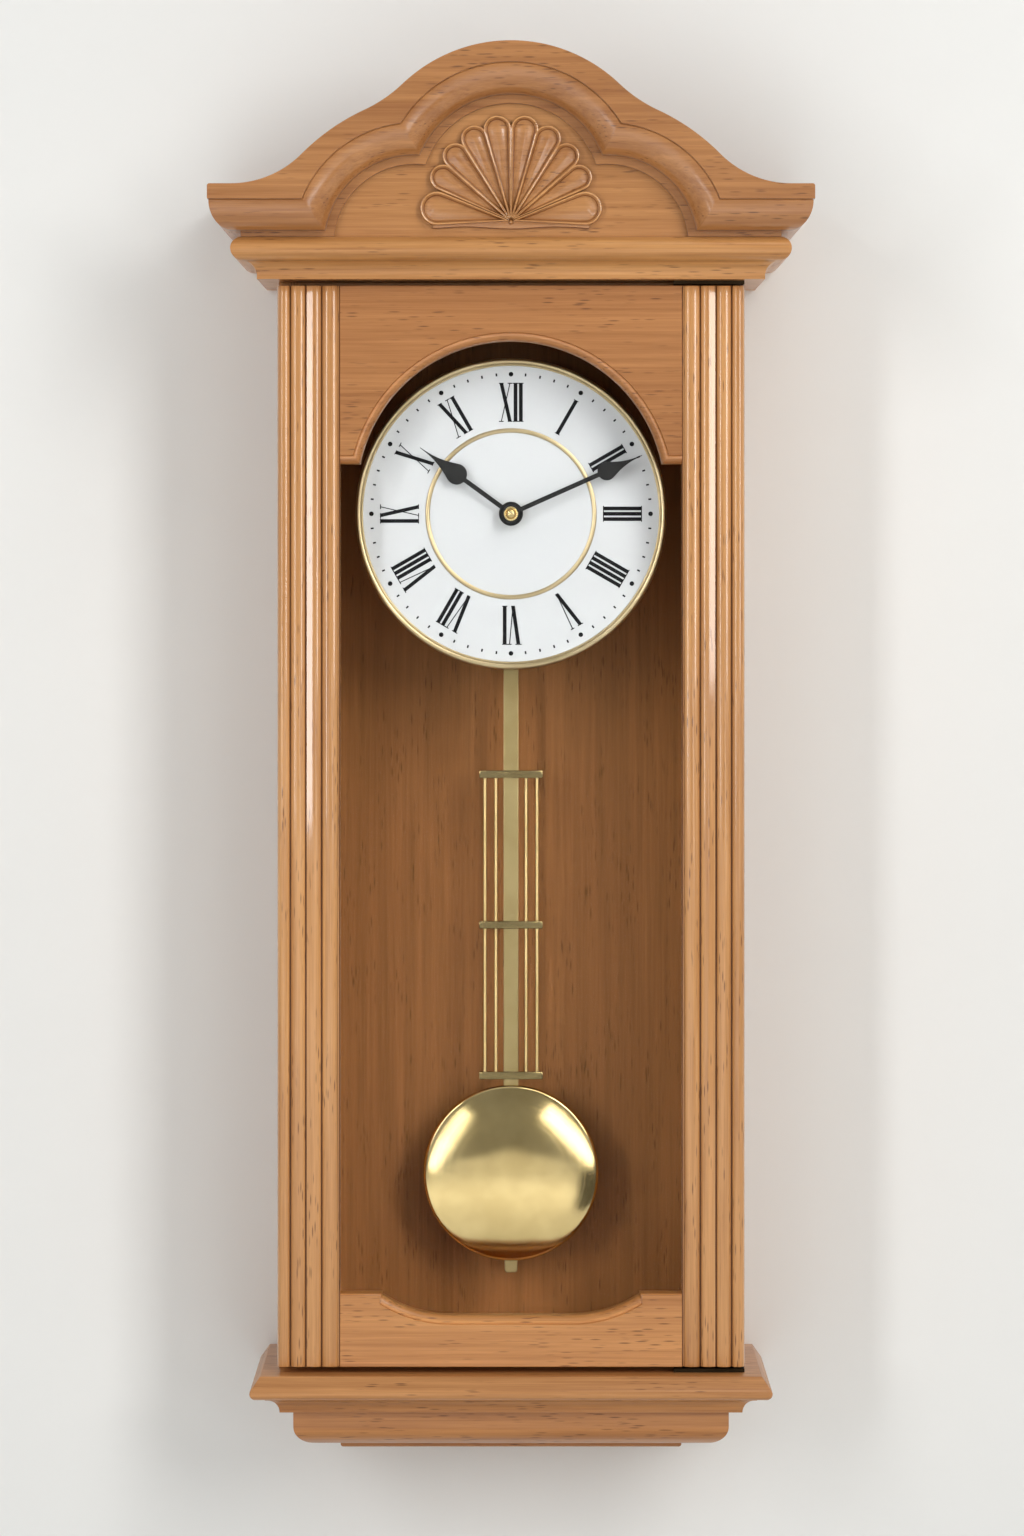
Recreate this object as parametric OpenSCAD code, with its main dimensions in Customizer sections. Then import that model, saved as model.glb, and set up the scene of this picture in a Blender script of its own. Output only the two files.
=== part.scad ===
// Wall clock with a swinging pendulum behind a glazed door.
// Millimetres. X is to the right, the front faces -Y and Z is up. The wall plane is y = 0.
// The origin is the round entry of the keyhole hanger, and "depth" is the distance in front of the wall.

/* [Case] */
// Outer width of the case and its door
case_w = 199; // [180:1:230]
// Height from the base shelf to the underside of the cornice
case_h = 465.3; // [440:0.1:520]
// Depth of the case sides
case_d = 70; // [66:0.5:90]
// Thickness of each case side
side_t = 9; // [7:0.5:12]
// Thickness of the backboard
back_t = 6; // [4:0.5:8]
// Thickness of the top and bottom boards
board_t = 9; // [6:0.5:12]
// Height of the cornice underside above the hanger
hang_drop = 27; // [26.5:0.5:34]

/* [Door] */
// Thickness of the door
door_t = 18; // [16:0.5:22]
// Gap between the door and the front of the case
door_gap = 0.8; // [0.6:0.1:1.5]
// Gap between the door and the cornice
door_top_gap = 2.3; // [2.1:0.1:3]
// Gap between the door and the base shelf
door_bottom_gap = 2.8; // [2.7:0.1:4]
// Width of each reeded stile
stile_w = 26.7; // [24:0.1:30]
// Number of reeds on a stile
reeds = 4; // [3:1:5]
// Depth of the grooves between the reeds
reed_depth = 1.9; // [1:0.1:2.5]
// How far the rails stand behind the reeds
rail_set = 1.5; // [0.5:0.1:2.5]
// Height of the top rail at its ends
top_rail_h = 76; // [72:0.5:84]
// Radius of the arch in the top rail
arch_r = 65.6; // [60:0.1:67]
// Depth of the arch centre under the top rail
arch_sink = 13.2; // [8:0.1:18]
// Height of the bottom rail at its ends
bottom_rail_h = 31.3; // [26:0.1:36]
// Depth of the dip in the bottom rail
dip_depth = 9.6; // [6:0.1:12]
// Half width of the flat floor of the dip
dip_flat = 26; // [15:0.5:32]
// Radius of the curves at the ends of the dip
dip_r = 52; // [30:1:55]
// Width of the moulded edge round the opening
edge_w = 3.7; // [2:0.1:5]
// Depth of the moulded edge round the opening
edge_d = 4; // [2:0.1:5]
// Thickness of the front lip that the glass lies against
lip_t = 9; // [7:0.1:9.6]
// Thickness of the glass
glass_t = 2; // [1.5:0.1:3]
// How far the glass reaches behind the frame
glass_lap = 4; // [3:0.1:5]
// Thickness of the beads that hold the glass
bead_t = 4.8; // [4:0.1:5]

/* [Hinges] */
// Distance of the pivot from the outer edge of the door
pivot_in = 3; // [2.5:0.1:3.5]
// Radius of the pivot pins
pivot_r = 1.5; // [1.2:0.1:1.6]
// Running clearance of the pivot pins
pivot_clear = 0.05; // [0.03:0.01:0.08]
// Thickness of the hinge plates
plate_t = 1.6; // [1.2:0.1:1.8]
// Width of the hinge plates
plate_w = 10; // [8:0.5:11]
// Length of the plates on the case
case_plate_l = 30; // [26:1:40]
// Length of the plates on the door
door_plate_l = 22; // [20:0.5:23]
// Reach of the pivot pins into the door
pivot_reach = 7; // [5:0.5:8]

/* [Cornice and crown] */
// Height of the cornice
cornice_h = 17.6; // [16:0.1:22]
// Reach of the cornice bottom arris beyond the case
cornice_lip = 8.2; // [6:0.1:10]
// Radius of the rounded nose of the cornice
nose_r = 5; // [4:0.1:6]
// Radius of the hollow under the nose
hollow_r = 6; // [4:0.1:6]
// Height of the fillet under the crown
fillet_h = 2.4; // [1.5:0.1:4]
// Height of the rounded crown moulding
ovolo_w = 12.8; // [10:0.1:15]
// Depth of the rounded crown moulding
ovolo_d = 10.5; // [8:0.1:11]
// Height of the flat cap at the ends of the crown
cap_h = 6.4; // [4:0.1:10]
// Reach of the cap beyond the case
cap_reach = 28.3; // [27:0.1:34]
// Length of the flat top at each end of the crown
cap_flat = 10; // [6:0.1:14]
// Radius of the centre lobe of the arch moulding
lobe_r = 54.5; // [52:0.1:57]
// Height of the centre lobe axis above the cap underside
lobe_z = 3.2; // [0:0.1:6]
// Radius of the two side lobes
side_lobe_r = 50.8; // [48:0.1:53]
// Distance of the side lobe axes from the centre
side_lobe_x = 40.8; // [38:0.1:43]
// Depth of the side lobe axes under the cap underside
side_lobe_sink = 18.8; // [17:0.1:21]
// Width of the flat band inside the arch moulding
band_w = 4.1; // [3:0.1:5]
// Radius of the top of the pediment outline
crest_r = 66; // [64:0.5:70]
// Radius of the shoulders of the pediment outline
shoulder_r = 91.1; // [88:0.1:94]
// Thickness of the board behind the arch moulding
tympanum_t = 8; // [6:0.5:12]
// Thickness of the carved shell
shell_t = 3.2; // [2:0.1:5]

/* [Base] */
// Thickness of the base shelf
shelf_t = 10.2; // [9:0.1:14]
// Reach of the flat top of the base shelf beyond the case
shelf_reach = 7; // [5:0.1:9]
// Height of the hollow moulding under the shelf
cove_h = 6.4; // [6:0.1:9]
// Height of the rounded apron
apron_h = 15.4; // [13:0.1:20]
// Height of the bottom strip
strip_h = 3.4; // [3:0.1:6]

/* [Dial] */
// Depth of the dial centre under the cornice
dial_drop = 99.2; // [97:0.1:110]
// Distance of the dial face from the wall
dial_depth = 60; // [58:0.5:61]
// Radius of the dial plate
dial_r = 65; // [60:0.1:66]
// Thickness of the dial plate
dial_t = 1; // [0.6:0.1:1]
// Radius of the bezel
bezel_r = 67; // [66.5:0.1:70]
// Radius of the white face inside the bezel
face_r = 63.7; // [62:0.1:64]
// Middle radius of the brass ring on the dial
ring_r = 35.9; // [33:0.1:37]
// Width of the brass ring on the dial
ring_w = 1.9; // [1:0.1:3]
// Inner radius of the numerals
numeral_r = 39.6; // [38.5:0.1:41]
// Height of the numerals
numeral_h = 16.8; // [14:0.1:17.5]
// Radius of the minute marks
minute_r = 60.1; // [59.5:0.1:61]
// Angle of the hour hand, clockwise from twelve
hour_angle = 306; // [0:0.5:359]
// Angle of the minute hand, clockwise from twelve
minute_angle = 66; // [0:0.5:359]
// Length of the hour hand
hour_l = 48.3; // [44:0.1:52]
// Length of the minute hand
minute_l = 61.6; // [56:0.1:62.5]

/* [Movement] */
// Width of the movement
move_w = 56; // [56:0.5:60]
// Height of the movement above the hands
move_up = 30; // [29.5:0.5:33]
// Height of the movement below the hands
move_down = 54; // [54:0.5:56]
// Depth of the movement
move_d = 20; // [19.5:0.5:20.5]
// Wall thickness of the movement
wall = 1.5; // [1:0.1:1.6]
// Radius of the minute arbor
arbor_r = 1; // [0.8:0.05:1.05]
// Outer radius of the hour pipe
pipe_r = 1.6; // [1.5:0.05:1.8]
// Outer radius of the fixing bush
bush_r = 3.4; // [3:0.1:3.6]
// Running clearance of the shafts
run_clear = 0.05; // [0.03:0.01:0.08]
// Distance between the hand arbor and the setting arbor
arbor_gap = 9.6; // [9.6:0.1:10.4]

/* [Pendulum] */
// Depth of the pivot under the dial centre
pivot_drop = 16; // [15:0.5:18]
// Distance of the pendulum rod from the wall
rod_depth = 25; // [24:0.5:25]
// Distance from the dial centre down to the bob centre
bob_drop = 287.6; // [270:0.1:290]
// Radius of the bob
bob_r = 38.5; // [34:0.1:42]
// Width of the pendulum rod
rod_w = 6.5; // [5:0.1:8]
// Thickness of the pendulum rod
rod_t = 1.2; // [0.8:0.1:1.4]
// Distance from the dial centre to the first crossbar
bar_drop = 113.5; // [105:0.5:120]
// Distance between crossbars
bar_gap = 65.8; // [60:0.1:68]
// Width of a crossbar
bar_w = 27.8; // [26.5:0.1:34]
// Height of a crossbar
bar_h = 3.3; // [2.5:0.1:5]
// Radius of the thin rods
thin_r = 0.75; // [0.5:0.05:0.9]

/* [Hidden] */
$fn = 96;

// Levels, measured from the hanger
case_top = hang_drop;
shelf_top = hang_drop - case_h;
shelf_under = shelf_top - shelf_t;
cove_under = shelf_under - cove_h;
apron_under = cove_under - apron_h;
strip_under = apron_under - strip_h;
crown_foot = case_top + cornice_h;
ovolo_foot = crown_foot + fillet_h;
cap_under = ovolo_foot + ovolo_w;
cap_top = cap_under + cap_h;
dial_z = case_top - dial_drop;

// Half widths and depths
half_w = case_w / 2;
inner_half = half_w - side_t;
door_back = case_d + door_gap;
door_front = door_back + door_t;
cap_front = door_front + cap_reach;
beyond = 20;
play = 0.02;
fit_clear = 0.1;

// Door levels
door_foot = shelf_top + door_bottom_gap;
door_head = case_top - door_top_gap;
rail_foot = door_head - top_rail_h;
arch_z = rail_foot - arch_sink;
rail_top = door_foot + bottom_rail_h;
dip_z = rail_top - dip_depth;
rail_half = half_w - stile_w;
rail_front = door_front - rail_set;
glass_front = rail_front - lip_t;
glass_half = rail_half + glass_lap;
glass_foot = dip_z - glass_lap - 1;
glass_head = arch_z + arch_r + glass_lap + 1;

// Points of an arc about c, and of an ellipse quarter
function arc(c, rx, ry, a0, a1, n) = [
  for (i = [0 : n]) let (a = a0 + (a1 - a0) * i / n) [c[0] + rx * cos(a), c[1] + ry * sin(a)]
];
function mirrored(pts) = [for (i = [len(pts) - 1 : -1 : 0]) [-pts[i][0], pts[i][1]]];
function heading(a, b) = atan2(b[1] - a[1], b[0] - a[0]);
// Where two circles about a and b cross, on the left of the way from a to b
function crossing(a, ra, b, rb) =
  let (d = norm(b - a), u = (b - a) / d, s = (ra * ra - rb * rb + d * d) / (2 * d))
  a + s * u + sqrt(ra * ra - s * s) * [-u[1], u[0]];

// A front view shape as a slab between two depths
module slab(d0, d1) {
  rotate([90, 0, 0])
    translate([0, 0, d0])
      linear_extrude(d1 - d0)
        children();
}
// A depth profile turned about an axis that runs front to back through [x, z]
module turned(x, z, start = 0, span = 360) {
  rotate([90, 0, 0])
    translate([x, z, 0])
      rotate(start)
        rotate_extrude(angle = span)
          children();
}
// A round bar from front to back, between two depths
module bar(x, z, r, d0, d1) {
  rotate([90, 0, 0])
    translate([x, z, d0])
      cylinder(r = r, h = d1 - d0);
}
// A box given by its lowest and highest x, depth and z
module block(x0, x1, d0, d1, z0, z1) {
  translate([x0, -d1, z0])
    cube([x1 - x0, d1 - d0, z1 - z0]);
}
// A side view profile of [depth, height] points drawn out along the whole width
module drawn_across(w) {
  rotate([90, 0, -90])
    linear_extrude(w, center = true)
      children();
}
// A board whose front and side edges have the same moulded profile of [reach, height] points
module moulded_board(profile, z0) {
  top = profile[len(profile) - 1][1];
  side = [for (p = profile) [half_w + p[0], p[1]]];
  translate([0, 0, z0])
    intersection() {
      drawn_across(2 * (half_w + cap_reach + beyond))
        polygon(concat([[0, 0]], [for (p = profile) [door_front + p[0], p[1]]], [[0, top]]));
      slab(0, cap_front + beyond)
        polygon(concat(side, mirrored(side)));
    }
}

// Case
hang_r = 4.5;
hang_slot_r = 2;
hang_rise = 9;
hanger_w = 36;
hanger_up = 16;
hanger_down = 12;
hanger_t = 1.2;
hang_room = hang_r + 1.5;
hang_skin = 1;
window_half = 33;
window_up = move_up + 4;
window_down = 42;
hanger_screw_x = 13;
screw_r = 1.2;
screw_head_r = 2.4;
screw_head_h = 1.2;

// A countersunk screw that points up from the origin, with its head below
module screw(l, gap = 0) {
  cylinder(r1 = screw_head_r + gap, r2 = screw_r + gap, h = screw_head_h);
  cylinder(r = screw_r + gap, h = l + gap);
}
module hanger_screws_at(gap = 0) {
  for (s = [-1, 1])
    translate([s * hanger_screw_x, 0, -hang_r])
      rotate([90, 0, 0])
        screw(back_t - 1, gap);
}
module backboard() {
  color("peru")
    difference() {
      block(-inner_half, inner_half, 0, back_t, shelf_top + board_t, case_top - board_t);
      block(-hanger_w / 2 - play, hanger_w / 2 + play, -1, hanger_t, -hanger_down - play, hanger_up + play);
      bar(0, 0, hang_room, -1, back_t - hang_skin);
      bar(0, hang_rise, hang_room, -1, back_t - hang_skin);
      block(-hang_room, hang_room, -1, back_t - hang_skin, 0, hang_rise);
      hanger_screws_at(play);
      block(-window_half, window_half, -1, back_t + 1, dial_z - window_down, dial_z + window_up);
    }
}
module case_side(s) {
  x0 = s > 0 ? inner_half : -half_w;
  color("peru")
    block(x0, x0 + side_t, 0, case_d, shelf_top, case_top);
}
module top_board() {
  color("peru")
    block(-inner_half, inner_half, 0, case_d, case_top - board_t, case_top);
}
module bottom_board() {
  color("peru")
    block(-inner_half, inner_half, 0, case_d, shelf_top, shelf_top + board_t);
}
module hanger_plate() {
  color("silver")
    difference() {
      block(-hanger_w / 2, hanger_w / 2, 0, hanger_t, -hanger_down, hanger_up);
      bar(0, 0, hang_r, -1, hanger_t + 1);
      bar(0, hang_rise, hang_slot_r, -1, hanger_t + 1);
      block(-hang_slot_r, hang_slot_r, -1, hanger_t + 1, 0, hang_rise);
      hanger_screws_at(play);
    }
}
module hanger_screws() {
  color("silver")
    hanger_screws_at();
}

// Cornice and base, each profile as [reach, height] from the bottom up
cornice_rim = 1.6;
nose_reach = cornice_lip + hollow_r - 0.2;
nose_z = cornice_rim + hollow_r + nose_r;
cornice_profile = concat(
  [[cornice_lip, 0]],
  arc([cornice_lip + hollow_r, cornice_rim], hollow_r, hollow_r, 180, 95, 8),
  arc([nose_reach, nose_z], nose_r, nose_r, -85, 85, 14),
  [[nose_reach, cornice_h]]
);
shelf_nose_r = 2.8;
shelf_nose = [shelf_reach + 1.5, shelf_nose_r + 0.4];
cove_reach = shelf_reach - 2;
cove_r = 6;
shelf_profile = concat(
  [[cove_reach, 0]],
  arc(shelf_nose, shelf_nose_r, shelf_nose_r, -90, 40, 10),
  [[shelf_reach, shelf_t]]
);
cove_profile = concat(
  arc([cove_reach, 0], cove_r, cove_r, 180, 90, 8),
  [[cove_reach, cove_h]]
);
apron_set = -6.6;
apron_rx = 11;
apron_rz = 8.5;
apron_profile = concat(
  arc([apron_set - apron_rx, apron_rz], apron_rx, apron_rz, -90, 0, 10),
  [[apron_set, apron_h]]
);
strip_set = -26.2;
strip_round = 1.5;
strip_profile = concat(
  arc([strip_set - strip_round, strip_round], strip_round, strip_round, -90, 0, 4),
  [[strip_set, strip_h]]
);
module cornice() {
  color("sandybrown")
    difference() {
      moulded_board(cornice_profile, case_top);
      case_hinge_screws_at(play);
    }
}
module base_shelf() {
  color("sandybrown")
    difference() {
      moulded_board(shelf_profile, shelf_under);
      case_hinge_screws_at(play);
    }
}
module cove_board() {
  color("sandybrown")
    moulded_board(cove_profile, cove_under);
}
module apron_block() {
  color("sandybrown")
    moulded_board(apron_profile, apron_under);
}
module bottom_strip() {
  color("sandybrown")
    moulded_board(strip_profile, strip_under);
}

// The opening that a rounded edge leaves, turned about an axis. edge and ledge hold [way in, depth].
function rounded_edge(face, w, d, q, n) = arc([0, face - d], w, d - q, 90, 0, n);
module opening_turned(x, z, r, edge, ledge, front, back, start = 0, span = 360) {
  turned(x, z, start, span)
    polygon(concat(
      [[0, front], [r, front]],
      [for (p = edge) [r - p[0], p[1]]],
      [for (p = ledge) [r - p[0], p[1]]],
      [[0, back]]
    ));
}
// The same edge drawn straight across, open downwards (way = -1) or upwards (way = 1)
module opening_across(w, z, way, edge, ledge, front) {
  last = ledge[len(ledge) - 1];
  drawn_across(w)
    polygon(concat(
      [[front, z]],
      [for (p = edge) [p[1], z + way * p[0]]],
      [for (p = ledge) [p[1], z + way * p[0]]],
      [[front, z + way * last[0]]]
    ));
}

// Crown: a thick board cut to three lobes with a rounded edge, in front of a thinner board
quirk = 0.6;
step = 3;
reveal = 2.3;
crown_x = half_w + cap_reach;
ovolo_back = cap_front - ovolo_d;
band_front = ovolo_back - step;
tympanum_front = band_front - reveal;
tympanum_back = tympanum_front - tympanum_t;
ovolo = rounded_edge(cap_front, ovolo_w, ovolo_d, quirk, 10);
end_profile = concat(
  [[crown_x - ovolo_d - step, crown_foot], [crown_x - ovolo_d - step, ovolo_foot]],
  arc([crown_x - ovolo_d, cap_under], ovolo_d - quirk, ovolo_w, -90, 0, 10),
  [[crown_x, cap_under], [crown_x, cap_top]]
);
// The outline is a chain of circles that meet smoothly: flat end, wing, shoulder, neck, crest
neck_r = 60;
wing_r = 42;
crest_rise = 0.5;
shoulder_sink = 45.4;
crest = [0, cap_under + crest_rise];
wing = [cap_flat - crown_x, cap_top + wing_r];
shoulder_z = cap_under - shoulder_sink;
shoulder = [wing[0] + sqrt(pow(shoulder_r + wing_r, 2) - pow(wing[1] - shoulder_z, 2)), shoulder_z];
neck = crossing(shoulder, shoulder_r + neck_r, crest, crest_r + neck_r);
left_outline = concat(
  arc(wing, wing_r, wing_r, -90, heading(wing, shoulder), 10),
  arc(shoulder, shoulder_r, shoulder_r, heading(shoulder, wing), heading(shoulder, neck), 8),
  arc(neck, neck_r, neck_r, heading(neck, shoulder), heading(neck, crest), 6),
  arc(crest, crest_r, crest_r, heading(crest, neck), 90, 14)
);
module crown_outline() {
  left_side = concat(mirrored([for (i = [len(end_profile) - 1 : -1 : 0]) end_profile[i]]), left_outline);
  polygon(concat(left_side, mirrored(left_side)));
}
module lobe_opening(x, z, r) {
  inner = ovolo_w + band_w;
  ledge = [[ovolo_w, band_front], [inner, band_front], [inner, tympanum_front - 1]];
  opening_turned(x, z, r, ovolo, ledge, cap_front + 1, tympanum_front - 1);
}
module pediment_frame() {
  color("sandybrown")
    difference() {
      slab(tympanum_front, cap_front)
        crown_outline();
      lobe_opening(0, cap_under + lobe_z, lobe_r);
      for (s = [-1, 1])
        lobe_opening(s * side_lobe_x, cap_under - side_lobe_sink, side_lobe_r);
      opening_across(
        2 * (crown_x + 1), cap_under, -1, ovolo,
        [[ovolo_w, band_front], [ovolo_w + fillet_h + 1, band_front]], cap_front + 1
      );
    }
}
module tympanum_board() {
  color("burlywood")
    slab(tympanum_back, tympanum_front)
      crown_outline();
}
return_t = 24;
module crown_returns() {
  inside = [[crown_x - return_t, cap_top], [crown_x - return_t, crown_foot]];
  color("sandybrown")
    for (s = [0, 1])
      mirror([s, 0, 0])
        slab(0, tympanum_back)
          polygon(concat(inside, end_profile));
}
glue_w = 14;
glue_x = 62;
module glue_blocks() {
  color("peru")
    for (s = [-1, 1])
      translate([s * glue_x, 0, crown_foot])
        rotate([90, 0, -90])
          linear_extrude(glue_w, center = true)
            polygon([[tympanum_back, 0], [tympanum_back - glue_w, 0], [tympanum_back, glue_w]]);
}

// Carved shell: petals fan out from a hub, each with a raised rim round a hollow flute
hub_z = crown_foot + 6.6;
petal_angle = [8.5, 24, 40.5, 57.5, 79];
petal_tip = [45.2, 43.9, 41.8, 39.8, 39];
petal_half = [8.8, 8.9, 9.1, 9.6, 12.3];
petal_rim = 1.1;
petal_turn = 1.6;
flute_d = 1.5;
flute_start = 10;
shell_cut = 2;
module petal(tip, half) {
  c = tip / (1 + sin(half));
  r = c * sin(half);
  polygon(concat([[0, 0]], arc([0, c], r, r, -half, 180 + half, 12)));
}
module petals(inset) {
  for (s = [-1, 1], i = [0 : len(petal_tip) - 1])
    rotate(-s * petal_angle[i])
      petal(petal_tip[i] - inset, petal_half[i] - petal_turn * inset);
}
module shell_carving() {
  color("sandybrown")
    translate([0, -tympanum_front, hub_z])
      rotate([90, 0, 0])
        difference() {
          linear_extrude(shell_t)
            difference() {
              petals(0);
              translate([-cap_reach - shoulder_r, -shoulder_r - shell_cut])
                square([2 * (cap_reach + shoulder_r), shoulder_r]);
            }
          translate([0, 0, shell_t - flute_d])
            linear_extrude(flute_d + 1)
              difference() {
                petals(petal_rim);
                circle(r = flute_start);
              }
        }
}

// Door: two reeded stiles, an arched top rail and a dipped bottom rail round a pane of glass
reed_shift = 1.1;
outer_drop = 4;
inner_drop = 3;
corner_cut = 1;
tenon_l = 12;
tenon_set = 8;
tenon_t = 4.5;
tenon_d = glass_front + 1;
pivot_x = half_w - pivot_in;
pivot_d = door_back + 8.7;
plate_end = 0.3;
strike_t = 1.2;
strike_h = 16;
strike_w = 9;
catch_z = (shelf_top + case_top) / 2;
rail_edge = rounded_edge(rail_front, edge_w, edge_d, 0.4, 6);
rail_through = [[edge_w, door_back - 1]];
function reed_start(k) = k == 0 ? 0 : (k == reeds ? stile_w : k * stile_w / reeds - reed_shift);
function groove_drop(k) = k == 0 ? outer_drop : (k == reeds ? inner_drop : reed_depth);
reed_points = [for (k = [0 : reeds - 1], i = [0 : 8])
  let (t = i / 8, swell = reed_depth * sin(180 * t))
  [reed_start(k) + t * (reed_start(k + 1) - reed_start(k)),
    groove_drop(k) + t * (groove_drop(k + 1) - groove_drop(k)) - swell]
];
module tenons(gap) {
  for (s = [-1, 1]) {
    x0 = s > 0 ? rail_half : -rail_half - tenon_l - gap;
    block(x0, x0 + tenon_l + gap, tenon_d - gap, tenon_d + tenon_t + gap,
      rail_foot + tenon_set - gap, door_head - tenon_set + gap);
    block(x0, x0 + tenon_l + gap, tenon_d - gap, tenon_d + tenon_t + gap,
      door_foot + tenon_set - gap, rail_top - tenon_set + gap);
  }
}
module stile(s) {
  front = [for (p = reed_points) [s * (half_w - p[0]), p[1] - door_front]];
  rebate_x = s * (rail_half + glass_lap);
  difference() {
    translate([0, 0, door_foot])
      linear_extrude(door_head - door_foot)
        polygon(concat(front, [
          [s * rail_half, -glass_front], [rebate_x, -glass_front], [rebate_x, -door_back],
          [s * (half_w - corner_cut), -door_back], [s * half_w, -door_back - corner_cut]
        ]));
    tenons(fit_clear);
  }
}
module left_stile() {
  color("sandybrown")
    difference() {
      stile(-1);
      strike(play);
    }
}
module right_stile() {
  color("sandybrown")
    difference() {
      stile(1);
      door_plates_space(play);
      for (z = [door_foot - 1, door_head - pivot_reach - 1])
        translate([pivot_x, -pivot_d, z])
          cylinder(r = pivot_r + 6 * pivot_clear, h = pivot_reach + 2);
      door_hinge_screws_at(play);
    }
}
module top_rail() {
  color("sandybrown")
    difference() {
      union() {
        block(-rail_half, rail_half, door_back, rail_front, rail_foot, door_head);
        intersection() {
          tenons(0);
          block(-half_w, half_w, door_back, door_front, rail_foot, door_head);
        }
      }
      opening_turned(0, arch_z, arch_r + edge_w, rail_edge, rail_through, rail_front + 1, door_back - 1);
      opening_across(2 * rail_half + 1, rail_foot + edge_w, -1, rail_edge,
        [[edge_w + 1, rail_front - edge_d]],
        rail_front + 1);
      block(-rail_half - 1, rail_half + 1, door_back - 1, glass_front, rail_foot - 1, glass_head);
    }
}
module bottom_rail() {
  color("sandybrown")
    difference() {
      union() {
        block(-rail_half, rail_half, door_back, rail_front, door_foot, rail_top);
        intersection() {
          tenons(0);
          block(-half_w, half_w, door_back, door_front, door_foot, rail_top);
        }
      }
      for (s = [-1, 1])
        opening_turned(s * dip_flat, dip_z + dip_r, dip_r + edge_w, rail_edge, rail_through,
          rail_front + 1, door_back - 1, s > 0 ? -90 : 180, 90);
      opening_across(2 * dip_flat, dip_z - edge_w, 1, rail_edge,
        [[edge_w, door_back - 1], [edge_w + dip_depth + 1, door_back - 1]], rail_front + 1);
      opening_across(2 * rail_half + 1, rail_top - edge_w, 1, rail_edge,
        [[edge_w + 1, rail_front - edge_d]], rail_front + 1);
      block(-rail_half - 1, rail_half + 1, door_back - 1, glass_front, glass_foot, rail_top + 1);
    }
}
glass_play = 0.3;
module door_glass() {
  color("aliceblue", 0.3)
    block(-glass_half + glass_play, glass_half - glass_play, glass_front - glass_t, glass_front,
      glass_foot + glass_play, glass_head - glass_play);
}
module glass_beads() {
  d1 = glass_front - glass_t;
  d0 = d1 - bead_t;
  color("peru") {
    for (s = [-1, 1]) {
      x0 = s > 0 ? rail_half + fit_clear : -glass_half + fit_clear;
      block(x0, x0 + glass_lap - 2 * fit_clear, d0, d1, glass_foot + fit_clear, glass_head - fit_clear);
    }
    for (z = [glass_foot, glass_head - glass_lap])
      block(-rail_half, rail_half, d0, d1, z + fit_clear, z + glass_lap - fit_clear);
  }
}

// Pivot hinges at the top and bottom of the right stile, and a magnetic catch at the left
case_screw_in = 14;
case_screw_step = 10;
case_screw_l = 9;
door_screw_in = 11;
door_screw_step = 7;
door_screw_l = 6.5;
module case_hinge_screws_at(gap = 0) {
  for (i = [0, 1])
    translate([half_w - case_screw_in - i * case_screw_step, -pivot_d, 0]) {
      translate([0, 0, case_top - plate_t])
        screw(case_screw_l, gap);
      translate([0, 0, shelf_top + plate_t])
        mirror([0, 0, 1])
          screw(case_screw_l, gap);
    }
}
module door_hinge_screws_at(gap = 0) {
  for (i = [0, 1])
    translate([half_w - door_screw_in - i * door_screw_step, -pivot_d, 0]) {
      translate([0, 0, door_head])
        mirror([0, 0, 1])
          screw(door_screw_l, gap);
      translate([0, 0, door_foot])
        screw(door_screw_l, gap);
    }
}
module case_hinge_plates() {
  d0 = pivot_d - plate_w / 2;
  color("goldenrod")
    difference() {
      union() {
        block(half_w - case_plate_l, half_w, d0, d0 + plate_w, case_top - plate_t, case_top);
        block(half_w - case_plate_l, half_w, d0, d0 + plate_w, shelf_top, shelf_top + plate_t);
        translate([pivot_x, -pivot_d, door_head - pivot_reach])
          cylinder(r = pivot_r, h = case_top - plate_t - door_head + pivot_reach + play);
        translate([pivot_x, -pivot_d, shelf_top + plate_t - play])
          cylinder(r = pivot_r, h = door_foot + pivot_reach - shelf_top - plate_t + play);
      }
      case_hinge_screws_at(play);
    }
}
module case_hinge_screws() {
  color("goldenrod")
    case_hinge_screws_at();
}
module door_plates_space(gap) {
  d0 = pivot_d - plate_w / 2;
  for (z = [door_foot, door_head - plate_t])
    block(half_w - plate_end - door_plate_l - gap, half_w - plate_end + (gap > 0 ? 1 : 0),
      d0 - gap, d0 + plate_w + gap, z - gap, z + plate_t + gap);
}
module door_hinge_plates() {
  color("goldenrod")
    difference() {
      door_plates_space(0);
      translate([pivot_x, -pivot_d, door_foot - 1])
        cylinder(r = pivot_r + pivot_clear, h = door_head - door_foot + 2);
      door_hinge_screws_at(play);
    }
}
module door_hinge_screws() {
  color("goldenrod")
    door_hinge_screws_at();
}
module hinge_washer() {
  color("gold")
    translate([pivot_x, -pivot_d, shelf_top + plate_t])
      difference() {
        cylinder(r = 2 * pivot_r - fit_clear, h = door_bottom_gap - plate_t - glass_play);
        translate([0, 0, -1])
          cylinder(r = pivot_r + pivot_clear, h = door_bottom_gap);
      }
}
module catch_magnet() {
  color("dimgray")
    block(-inner_half, -inner_half + strike_w, case_d - 12, case_d + 0.3, catch_z - 10, catch_z + 10);
}
module strike(gap) {
  block(-inner_half + 0.5 - gap, -inner_half + 0.5 + strike_w + gap, door_back - gap,
    door_back + strike_t + gap,
    catch_z - strike_h / 2 - gap, catch_z + strike_h / 2 + gap);
}
module strike_plate() {
  color("silver")
    strike(0);
}

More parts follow.
